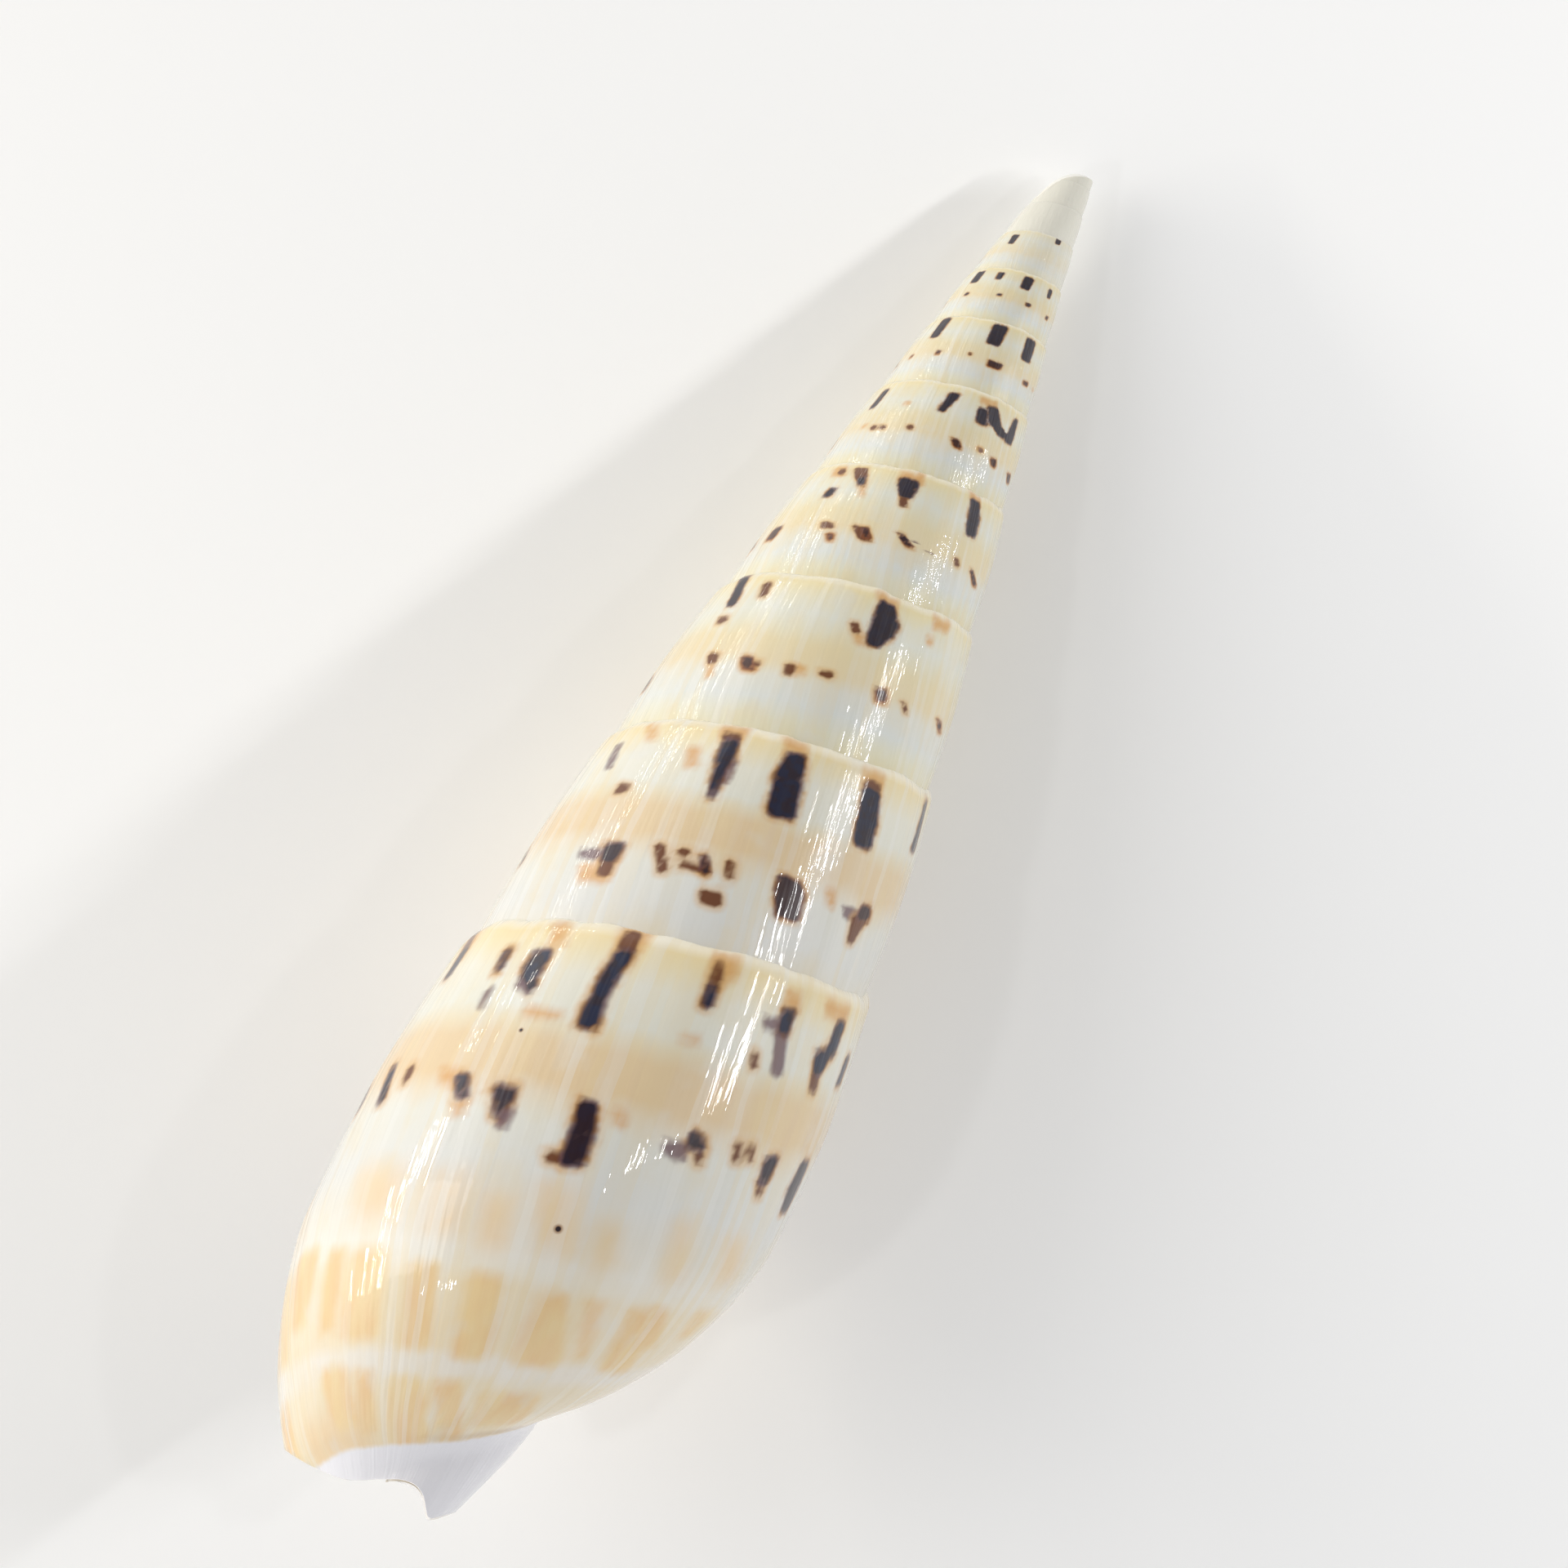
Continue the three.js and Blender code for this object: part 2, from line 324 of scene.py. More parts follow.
def grown(turn, radius, height):
    """Where a radius and a height of the last whorl are, carried back along the growth."""
    down = height * HEIGHT_GROWTH**turn
    out = radius * RADIUS_GROWTH**turn * taper(down)
    angle = BACK_ANGLE - 2 * math.pi * turn
    drift = DRIFT * math.exp(-((down / DRIFT_REACH) ** 2))
    return Vector((out * math.cos(angle) + drift, out * math.sin(angle), -down)) * MM


def side_spot(along):
    """Radius and height of the last whorl's side, this far below its suture."""
    share = along / SIDE_LENGTH
    swell = WHORL_BULGE * 4 * share * (1 - share)
    radius = SUTURE_RADIUS + SIDE_OUT * share + swell * SIDE_DOWN - SUTURE_STEP * share * SIDE_LENGTH
    return radius, SUTURE_HEIGHT + SIDE_DOWN * share - swell * SIDE_OUT


def side_spots(share):
    """Five spots down this share of the side."""
    return [side_spot(SIDE_LENGTH * share * i / 4) for i in range(5)]


SIDE_END = side_spot(SIDE_LENGTH)
base_start = SIDE_LENGTH * BASE_FROM
BASE_KEYS = with_lengths([side_spot(base_start), SIDE_END, *BASE, *TAIL], base_start)
BASE_END, TAIL_END = BASE_KEYS[-1 - len(TAIL)][0], BASE_KEYS[-1][0]
base_curve = curve_through(BASE_KEYS)

open_side = [spot[::-1] for spot in side_spots(OPEN_FROM)]
open_radius = curve_through(open_side + OPEN + [(down, out) for out, down in BASE[2:] + TAIL])


def side_lines():
    """How far below the suture the lines along the growth run on the side."""
    first = [0.0] + [row[0] for row in EDGE]
    return first + [
        EDGE_WIDTH + (SIDE_LENGTH - EDGE_WIDTH) * i / (SIDE_LINES - 1) for i in range(SIDE_LINES)
    ]


def base_lines():
    """The same on the base and the tail."""
    base = [SIDE_LENGTH + (BASE_END - SIDE_LENGTH) * i / BASE_LINES for i in range(BASE_LINES)]
    return base + [BASE_END + (TAIL_END - BASE_END) * i / TAIL_LINES for i in range(TAIL_LINES + 1)]


def outline_spot(along):
    """Radius and height of a whorl's outline, this far along it from the suture."""
    if along == 0:
        return SIDE_END[0] / RADIUS_GROWTH, SIDE_END[1] / HEIGHT_GROWTH
    for row in EDGE:
        if along == row[0]:
            return row[1:]
    return side_spot(along) if along <= SIDE_LENGTH else tuple(base_curve(along))


def suture_wave(stage):
    """The suture's small waves, in millimetres of the last whorl."""
    return sum(size * noise.noise(Vector((stage * rate, row, 0))) for rate, row, size in SUTURE_WAVES)


def growth_ridges(stage, along):
    """Low ridges that older lips have left along the growth lines."""
    return sum(
        size * noise.noise(Vector((stage * rate, along * slow, row)))
        for rate, slow, row, size in GROWTH_RIDGES
    )


def outside_spot(stage, along):
    """Turn, radius and height of a point of the outside."""
    radius, height = outline_spot(along)
    turn = stage + lean(height)
    open_share = smoothstep(FIRST_OPEN, FIRST_OPEN + OPEN_TURNS, stage)
    if height > open_side[-1][0]:
        radius += (open_radius(height)[0] - radius) * open_share
    groove = FASCIOLE_AT - FASCIOLE_RISE * smoothstep(RISE_FROM, RISE_TO, stage)
    radius -= GROOVE_DEPTH * math.exp(-(((along - groove) / GROOVE_WIDTH) ** 2))
    next_suture = smoothstep(SIDE_LENGTH - WAVE_ABOVE, SIDE_LENGTH, along) * (1 - open_share)
    next_suture *= 1 - smoothstep(SIDE_LENGTH, SIDE_LENGTH + WAVE_PAST, along)
    height += suture_wave(stage) * (1 - smoothstep(0, WAVE_BELOW, along))
    height += suture_wave(stage + SEAM_TURNS) * HEIGHT_GROWTH * next_suture
    radius += growth_ridges(stage, along) * smoothstep(RIDGES_FROM, RIDGES_FULL, along) * (1 - next_suture)
    return turn, radius, height


def sweep(name, lines, first, steps, spot_at):
    """A profile drawn as a line, swept round the axis and carried back along the growth.
    Its UV map, the growth map, holds the growth turn and the distance below the suture."""
    line = draw_line(name, upright([spot_at(first, along)[1:] for along in lines]))
    apply(
        line, "SCREW", axis="Z", angle=-2 * math.pi * steps / STEPS_PER_TURN, steps=steps,
        render_steps=steps, screw_offset=-SIDE_DOWN * MM * steps / STEPS_PER_TURN,
        use_normal_calculate=False,
    )
    mesh = line.data
    count = len(lines)
    for vertex in mesh.vertices:
        step, place = divmod(vertex.index, count)
        turn, radius, height = spot_at(first + step / STEPS_PER_TURN, lines[place])
        vertex.co = grown(turn, radius, height)
    uv = mesh.uv_layers.new(name="growth")
    for loop in mesh.loops:
        step, place = divmod(loop.vertex_index, count)
        uv.data[loop.index].uv = (first + step / STEPS_PER_TURN, lines[place] * ON_MAP)
    return line


def draw_outside():
    """The whole outside, closed across the mouth, below the canal and at the point."""
    side, base = side_lines(), base_lines()
    steps = round(TURNS * STEPS_PER_TURN)
    seam = round(SEAM_TURNS * STEPS_PER_TURN)
    shell = sweep("shell_outside", side, FIRST_TURN, steps, outside_spot)
    last = len(side) - 1
    lip, crease = steps * len(side), (steps - seam) * len(side) + last
    group(shell, "tip_rim", [*range(len(side)), *(i * len(side) for i in range(1, seam + 1))])
    group(shell, "lip_side", [*range(lip, lip + len(side)), crease])
    group(shell, "lip_base", [lip + last])
    group(shell, "inner_base", [lip, crease])
    lower = sweep("shell_base", base, FIRST_OPEN, seam, outside_spot)
    lip = seam * len(base)
    group(lower, "lip_side", [0, lip])
    group(lower, "lip_base", range(lip, lip + len(base)))
    group(lower, "inner_base", range(len(base)))
    group(lower, "canal_rim", [i * len(base) + len(base) - 1 for i in range(seam + 1)])
    on_its_own(shell)
    lower.select_set(True)
    bpy.ops.object.join()
    edit(shell, "SELECT")
    bpy.ops.mesh.remove_doubles(threshold=SAME_SPOT * MM)
    leave()
    finish_all(shell, OUTSIDE)
    # the mouth's plane, from the lip in to the whorl before it
    edit(shell)
    choose(shell, "lip_base", "inner_base")
    bpy.ops.mesh.select_mode(type="EDGE")
    bpy.ops.mesh.bridge_edge_loops()
    bpy.ops.mesh.select_mode(type="VERT")
    bpy.ops.mesh.select_all(action="DESELECT")
    choose(shell, "lip_side")
    bpy.ops.mesh.edge_face_add()
    leave()
    around = {shell.vertex_groups[name].index for name in ("lip_side", "lip_base", "inner_base")}
    for face in shell.data.polygons:
        corners = [shell.data.vertices[i] for i in face.vertices]
        if all(around & {held.group for held in corner.groups} for corner in corners):
            face.material_index = INSIDE
    edit(shell)
    close_to(shell, "canal_rim", Vector((0, 0, -CANAL_CENTRE)) * MM, INSIDE)
    start = SUTURE_HEIGHT * HEIGHT_GROWTH**FIRST_TURN
    close_to(shell, "tip_rim", Vector((DRIFT, 0, -start)) * MM, WORN)
    face_outward()
    return shell


def close_to(piece, rim, spot, finish):
    """Closes an open rim with a fan of faces to one spot."""
    bpy.ops.mesh.select_mode(type="VERT")
    bpy.ops.mesh.select_all(action="DESELECT")
    choose(piece, rim)
    bpy.ops.mesh.select_mode(type="EDGE")
    extrude((0, 0, 0))
    bpy.ops.mesh.select_mode(type="VERT")
    bpy.ops.mesh.merge(type="CENTER")
    leave()
    middle = next(vertex for vertex in piece.data.vertices if vertex.select)
    middle.co = spot
    for face in piece.data.polygons:
        if middle.index in face.vertices:
            face.material_index = finish
    enter()


def draw_hollow():
    """The hollow of the last whorl, as a tube that winds in from the mouth."""
    keys = with_lengths(side_spots(1.0) + BASE)
    length = keys[-1][0]
    outer = curve_through(keys)
    lines = list(range(HOLLOW_LINES))

    def ring(wall):
        """The hollow's outline: down inside the outer wall, and back up beside the columella."""
        corners = []
        for i in range(WALL_SPOTS):
            along = length * (HOLLOW_FROM + (HOLLOW_TO - HOLLOW_FROM) * i / (WALL_SPOTS - 1))
            here, ahead = outer(along), outer(along + AHEAD)
            run, drop = ahead[0] - here[0], ahead[1] - here[1]
            size = math.hypot(run, drop)
            corners.append((here[0] - drop / size * wall, here[1] + run / size * wall))
        corners += COLUMELLA + PARIETAL
        rows = with_lengths([*corners[-2:], *corners, *corners[:3]])
        first, last = rows[2][0], rows[-3][0]
        at = curve_through(rows)
        shares = (i / HOLLOW_LINES for i in lines)
        closer = [
            share - HOLLOW_BUNCH * math.sin(2 * math.pi * share) / (2 * math.pi) for share in shares
        ]
        return [at(first + (last - first) * share) for share in closer]

    deep, thin = ring(WALL), ring(LIP_WALL)
    middle = [sum(spot[k] for spot in deep) / len(deep) for k in (0, 1)]
    mouth = LIP_TURN + LIP_OVERSHOOT / STEPS_PER_TURN
    end = mouth - HOLLOW_TURNS

    def inside_spot(stage, i):
        inward = smoothstep(LIP_TURN, LIP_TURN - LIP_WALL_TURNS, stage)
        opened = min(1.0, (stage - end) / HOLLOW_FADE)
        size = HOLLOW_END + (1 - HOLLOW_END) * math.sqrt(max(0.0, 1 - (1 - opened) ** 2))
        spot = [thin[i][k] + (deep[i][k] - thin[i][k]) * inward for k in (0, 1)]
        radius, height = (middle[k] + (spot[k] - middle[k]) * size for k in (0, 1))
        return stage + lean(height), radius, height

    lines.append(0)
    steps = round(HOLLOW_TURNS * STEPS_PER_TURN)
    tube = sweep("shell_hollow", lines, end, steps, inside_spot)
    finish_all(tube, INSIDE)
    group(tube, "deep_rim", range(len(lines)))
    group(tube, "mouth_rim", range(steps * len(lines), (steps + 1) * len(lines)))
    edit(tube, "SELECT")
    bpy.ops.mesh.remove_doubles(threshold=SAME_SPOT * MM)
    for rim, stage in (("deep_rim", end), ("mouth_rim", mouth)):
        close_to(tube, rim, grown(stage + lean(middle[1]), *middle), INSIDE)
    face_outward()
    return tube


def draw_margin_block():
    """All that lies beyond the front margin."""
    at = curve_through([(i, *spot) for i, spot in enumerate(MARGIN)])
    last = MARGIN_STEPS * (len(MARGIN) - 2)
    edge = [MARGIN[0], *(at(i / MARGIN_STEPS) for i in range(MARGIN_STEPS, last + 1)), MARGIN[-1]]
    deepest = MARGIN[0][1] + MARGIN_DEPTH
    corners = [(MARGIN[-1][0], deepest), (MARGIN[0][0], deepest)]
    block = draw_line("margin_block", upright(edge + corners, MARGIN_REACH), closed=True)
    edit(block, "SELECT")
    bpy.ops.mesh.edge_face_add()
    extrude((0, 2 * MARGIN_REACH * MM, 0))
    face_outward()
    finish_all(block, MARGIN_CUT)
    return block


def draw_wear():
    """All that the wear of the point leaves: a blunt, tilted cap over the whole shell."""
    spots = [(radius, radius**2 / TIP_BLUNTNESS) for radius in TIP_RADII]
    wide = CANAL_CENTRE
    spots += [(wide, wide * TIP_SKIRT), (wide, 2 * wide), (0, 2 * wide)]
    cap = draw_line("wear", upright(spots))
    edit(cap, "SELECT")
    bpy.ops.mesh.spin(steps=CAP_SIDES, angle=2 * math.pi, center=(0, 0, 0), axis=(0, 0, 1))
    bpy.ops.mesh.select_all(action="SELECT")
    bpy.ops.mesh.remove_doubles(threshold=SPIN_GAP * MM)
    face_outward()
    finish_all(cap, WORN)
    cap.rotation_euler = (0, -TIP_TILT, 0)
    cap.location = Vector((DRIFT, 0, -TIP_HEIGHT)) * MM
    return cap


def rim_vertices(piece):
    """The vertices where two finishes meet, and those of them that lie on the front margin."""
    finishes = {}
    for face in piece.data.polygons:
        for i in face.vertices:
            finishes.setdefault(i, set()).add(face.material_index)
    rims = {i for i, found in finishes.items() if len(found) > 1}
    return rims, {i for i in rims if MARGIN_CUT in finishes[i]}


def soften_rims(piece, rounds):
    """Rounds the rims of the lip and the worn point. The front margin keeps the line it was cut to."""
    rims, _ = rim_vertices(piece)
    select_vertices(piece, rims)
    bpy.ops.mesh.remove_doubles(threshold=SLIVER * MM)
    leave()
    rims, margin = rim_vertices(piece)
    select_vertices(piece, rims - margin)
    bpy.ops.mesh.select_more()
    leave()
    for i in margin:
        piece.data.vertices[i].select = False
    enter()
    bpy.ops.mesh.vertices_smooth(factor=0.5, repeat=rounds)
    leave()


def lay_down(piece):
    """From upright to lying, point to +X and back to +Z, just filling the CAD solid's box."""
    cos, sin = math.cos(REST_PITCH), math.sin(REST_PITCH)
    piece.matrix_world = Matrix(((0, -sin, cos, 0), (-1, 0, 0, 0), (0, -cos, -sin, 0), (0, 0, 0, 1)))
    on_its_own(piece)
    bpy.ops.object.transform_apply(location=True, rotation=True, scale=True)
    spots = np.array([vertex.co for vertex in piece.data.vertices])
    low, high = spots.min(0), spots.max(0)
    cad_low, cad_high = np.array(CAD_LOW), np.array(CAD_HIGH)
    size = (cad_high - cad_low) / (high - low)
    size[2] = 1.0
    spots = (spots - high) * size + cad_high
    soft, drop = REST_SOFTNESS * MM, REST_FLAT * MM
    share = np.clip((spots[:, 2] + drop) / (soft + drop), 0, None)
    flat = soft * share * (1 + share) / 2
    spots[:, 2] = np.where(spots[:, 2] < soft, flat, spots[:, 2])
    piece.data.vertices.foreach_set("co", spots.ravel())
    piece.data.update()


shell = draw_outside()
for cutter, way in (
    (draw_wear(), "INTERSECT"), (draw_margin_block(), "DIFFERENCE"), (draw_hollow(), "DIFFERENCE")
):
    apply(shell, "BOOLEAN", operation=way, solver="MANIFOLD", object=cutter)
    discard(cutter)
shell.name = "fine_shell"
shell.vertex_groups.clear()
shell.data.uv_layers.remove(shell.data.uv_layers["UVMap"])
soften_rims(shell, rounds=3)
lay_down(shell)
on_its_own(shell)
bpy.ops.object.shade_smooth_by_angle(angle=SHARP_ANGLE)
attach(shell, "root")
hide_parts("shell")


# The pattern

# The marks of each whorl, counted from the last one towards the point. Each mark is its upper edge
# and its lower edge: growth turn of its left end and right end as the back is seen with the point
# up, then the share of the way from the suture down to the next one. Corners or middles were read by
# eye as pixels of the photo and turned into these measures by scratch scripts, then rounded. Some
# marks were moved or added.
DARK = {
    0: [
        (0.208, 0.196, 0.09, 0.204, 0.194, 0.21), (0.140, 0.133, 0.13, 0.136, 0.130, 0.22),
        (0.112, 0.096, 0.13, 0.110, 0.094, 0.20), (0.112, 0.098, 0.19, 0.108, 0.098, 0.25),
        (0.104, 0.094, 0.24, 0.098, 0.090, 0.28), (0.048, 0.035, 0.08, 0.050, 0.037, 0.21),
        (0.050, 0.038, 0.20, 0.048, 0.036, 0.31), (0.049, 0.038, 0.30, 0.048, 0.032, 0.38),
        (-0.025, -0.033, 0.12, -0.027, -0.035, 0.21), (-0.092, -0.105, 0.13, -0.094, -0.105, 0.22),
        (-0.157, -0.171, 0.11, -0.155, -0.170, 0.24), (-0.140, -0.163, 0.23, -0.147, -0.158, 0.32),
        (-0.195, -0.206, 0.22, -0.193, -0.204, 0.33), (0.115, 0.105, 0.59, 0.105, 0.097, 0.675),
        (0.084, 0.076, 0.61, 0.072, 0.066, 0.72), (0.076, 0.064, 0.61, 0.072, 0.064, 0.68),
        (0.022, 0.008, 0.61, 0.015, 0.001, 0.72), (0.016, 0.002, 0.71, 0.014, -0.003, 0.825),
        (-0.061, -0.071, 0.62, -0.063, -0.078, 0.68), (-0.132, -0.148, 0.63, -0.138, -0.148, 0.73),
        (-0.185, -0.202, 0.61, -0.185, -0.205, 0.72), (-0.182, -0.205, 0.71, -0.188, -0.204, 0.81),
        (0.196, 0.188, 0.54, 0.185, 0.176, 0.68),
    ],
    1: [
        (0.058, 0.043, 0.08, 0.053, 0.038, 0.20), (0.053, 0.041, 0.19, 0.045, 0.038, 0.375),
        (-0.002, -0.020, 0.07, -0.001, -0.027, 0.20), (-0.001, -0.026, 0.19, -0.008, -0.036, 0.38),
        (-0.084, -0.108, 0.11, -0.094, -0.118, 0.29), (-0.092, -0.115, 0.28, -0.098, -0.120, 0.38),
        (-0.193, -0.205, 0.05, -0.190, -0.206, 0.30), (0.111, 0.091, 0.635, 0.104, 0.090, 0.73),
        (0.026, 0.019, 0.625, 0.019, 0.010, 0.705), (-0.041, -0.063, 0.62, -0.045, -0.073, 0.69),
        (-0.044, -0.072, 0.68, -0.055, -0.076, 0.80), (-0.137, -0.151, 0.615, -0.135, -0.155, 0.69),
    ],
    2: [
        (0.172, 0.156, 0.03, 0.155, 0.142, 0.25), (-0.022, -0.042, 0.07, -0.023, -0.055, 0.18),
        (-0.022, -0.056, 0.17, -0.026, -0.054, 0.29), (-0.025, -0.048, 0.28, -0.028, -0.044, 0.35),
        (0.090, 0.077, 0.59, 0.082, 0.068, 0.67), (-0.057, -0.072, 0.57, -0.064, -0.077, 0.655),
        (-0.162, -0.179, 0.60, -0.176, -0.187, 0.66),
    ],
    3: [
        (0.092, 0.078, 0.14, 0.083, 0.073, 0.225), (0.125, 0.111, 0.26, 0.127, 0.113, 0.345),
        (0.030, 0.000, 0.09, 0.027, -0.004, 0.17), (0.028, -0.003, 0.16, 0.016, -0.001, 0.25),
        (-0.092, -0.114, 0.06, -0.097, -0.124, 0.19), (-0.096, -0.124, 0.18, -0.104, -0.128, 0.35),
        (0.084, 0.074, 0.655, 0.077, 0.071, 0.71), (0.045, 0.035, 0.56, 0.036, 0.025, 0.64),
        (-0.002, -0.014, 0.54, -0.022, -0.038, 0.615), (-0.136, -0.147, 0.58, -0.157, -0.173, 0.68),
        (0.186, 0.166, 0.575, 0.188, 0.168, 0.685),
    ],
    4: [
        (0.024, 0.002, 0.11, 0.030, 0.017, 0.34), (-0.040, -0.060, 0.17, -0.046, -0.072, 0.335),
        (-0.058, -0.083, 0.115, -0.074, -0.108, 0.295), (-0.072, -0.107, 0.27, -0.102, -0.148, 0.365),
        (-0.136, -0.152, 0.11, -0.124, -0.151, 0.385), (0.170, 0.155, 0.12, 0.172, 0.158, 0.35),
        (-0.015, -0.032, 0.575, -0.026, -0.044, 0.655), (-0.103, -0.121, 0.605, -0.112, -0.126, 0.68),
        (-0.169, -0.192, 0.65, -0.181, -0.198, 0.735),
    ],
    5: [
        (-0.094, -0.131, 0.07, -0.096, -0.129, 0.38), (0.008, -0.031, 0.05, 0.006, -0.029, 0.35),
        (0.151, 0.124, 0.05, 0.150, 0.125, 0.36), (-0.130, -0.151, 0.62, -0.131, -0.150, 0.67),
        (-0.019, -0.056, 0.56, -0.022, -0.052, 0.65), (0.103, 0.091, 0.57, 0.101, 0.092, 0.63),
        (0.173, 0.165, 0.60, 0.172, 0.166, 0.65),
    ],
    6: [
        (0.155, 0.125, 0.10, 0.153, 0.128, 0.34), (0.075, 0.055, 0.12, 0.073, 0.057, 0.26),
        (-0.010, -0.045, 0.08, -0.012, -0.042, 0.32), (-0.113, -0.133, 0.12, -0.115, -0.130, 0.28),
        (0.143, 0.128, 0.55, 0.141, 0.129, 0.60), (0.042, 0.028, 0.52, 0.041, 0.030, 0.56),
        (-0.049, -0.068, 0.53, -0.051, -0.066, 0.59), (-0.140, -0.156, 0.57, -0.141, -0.154, 0.63),
    ],
    7: [
        (0.122, 0.092, 0.16, 0.118, 0.094, 0.40), (-0.062, -0.090, 0.02, -0.064, -0.087, 0.14),
    ],
}
BROWN = {
    0: [
        (0.050, 0.038, 0.02, 0.048, 0.036, 0.09), (-0.024, -0.032, 0.05, -0.025, -0.034, 0.13),
        (-0.080, -0.085, 0.31, -0.084, -0.089, 0.36), (-0.146, -0.156, 0.31, -0.151, -0.160, 0.38),
        (0.028, 0.015, 0.795, 0.024, 0.013, 0.825), (-0.070, -0.077, 0.68, -0.074, -0.080, 0.72),
        (-0.098, -0.103, 0.62, -0.104, -0.109, 0.68), (-0.111, -0.116, 0.61, -0.116, -0.121, 0.66),
        (-0.135, -0.144, 0.72, -0.143, -0.149, 0.775), (0.168, 0.162, 0.56, 0.166, 0.160, 0.62),
        (0.212, 0.202, 0.03, 0.209, 0.198, 0.10),
    ],
    1: [
        (0.062, 0.046, 0.05, 0.058, 0.043, 0.09), (-0.085, -0.104, 0.08, -0.084, -0.108, 0.12),
        (0.104, 0.091, 0.72, 0.101, 0.090, 0.79), (0.064, 0.057, 0.625, 0.051, 0.044, 0.74),
        (0.045, 0.035, 0.62, 0.044, 0.035, 0.645), (0.039, 0.019, 0.675, 0.037, 0.018, 0.70),
        (0.005, -0.003, 0.62, -0.001, -0.007, 0.70), (0.012, -0.005, 0.775, 0.007, -0.009, 0.83),
        (-0.130, -0.150, 0.68, -0.136, -0.144, 0.80), (0.131, 0.119, 0.355, 0.130, 0.118, 0.395),
    ],
    2: [
        (0.123, 0.112, 0.09, 0.117, 0.107, 0.19), (-0.001, -0.010, 0.25, -0.008, -0.018, 0.31),
        (0.154, 0.141, 0.325, 0.150, 0.137, 0.37), (0.131, 0.117, 0.58, 0.124, 0.115, 0.65),
        (0.078, 0.067, 0.605, 0.074, 0.066, 0.64), (0.040, 0.030, 0.595, 0.037, 0.030, 0.65),
        (0.007, -0.008, 0.58, 0.004, -0.010, 0.61), (-0.094, -0.101, 0.60, -0.103, -0.109, 0.65),
    ],
    3: [
        (0.135, 0.122, 0.08, 0.128, 0.117, 0.125), (0.106, 0.083, 0.07, 0.094, 0.077, 0.165),
        (0.015, 0.005, 0.25, 0.010, 0.000, 0.32), (0.101, 0.082, 0.565, 0.097, 0.079, 0.61),
        (0.058, 0.035, 0.56, 0.040, 0.021, 0.66), (-0.099, -0.108, 0.56, -0.106, -0.114, 0.61),
    ],
    4: [
        (0.134, 0.122, 0.58, 0.128, 0.118, 0.63), (0.115, 0.105, 0.575, 0.110, 0.100, 0.62),
        (0.066, 0.055, 0.55, 0.062, 0.051, 0.595), (-0.071, -0.081, 0.57, -0.074, -0.083, 0.605),
    ],
    5: [(0.029, 0.022, 0.54, 0.028, 0.022, 0.57)],
}
MAUVE = {
    0: [
        (0.134, 0.128, 0.28, 0.130, 0.124, 0.36), (0.110, 0.100, 0.24, 0.106, 0.096, 0.28),
        (-0.093, -0.103, 0.21, -0.103, -0.114, 0.36), (-0.077, -0.095, 0.18, -0.083, -0.095, 0.22),
        (-0.045, -0.062, 0.67, -0.051, -0.066, 0.72), (0.068, 0.061, 0.68, 0.067, 0.060, 0.75),
    ],
    1: [
        (0.046, 0.036, 0.18, 0.042, 0.034, 0.29), (0.130, 0.108, 0.67, 0.126, 0.104, 0.715),
        (-0.112, -0.138, 0.66, -0.120, -0.139, 0.70), (0.172, 0.165, 0.14, 0.164, 0.156, 0.265),
    ],
    3: [(-0.026, -0.036, 0.565, -0.055, -0.066, 0.605)],
}
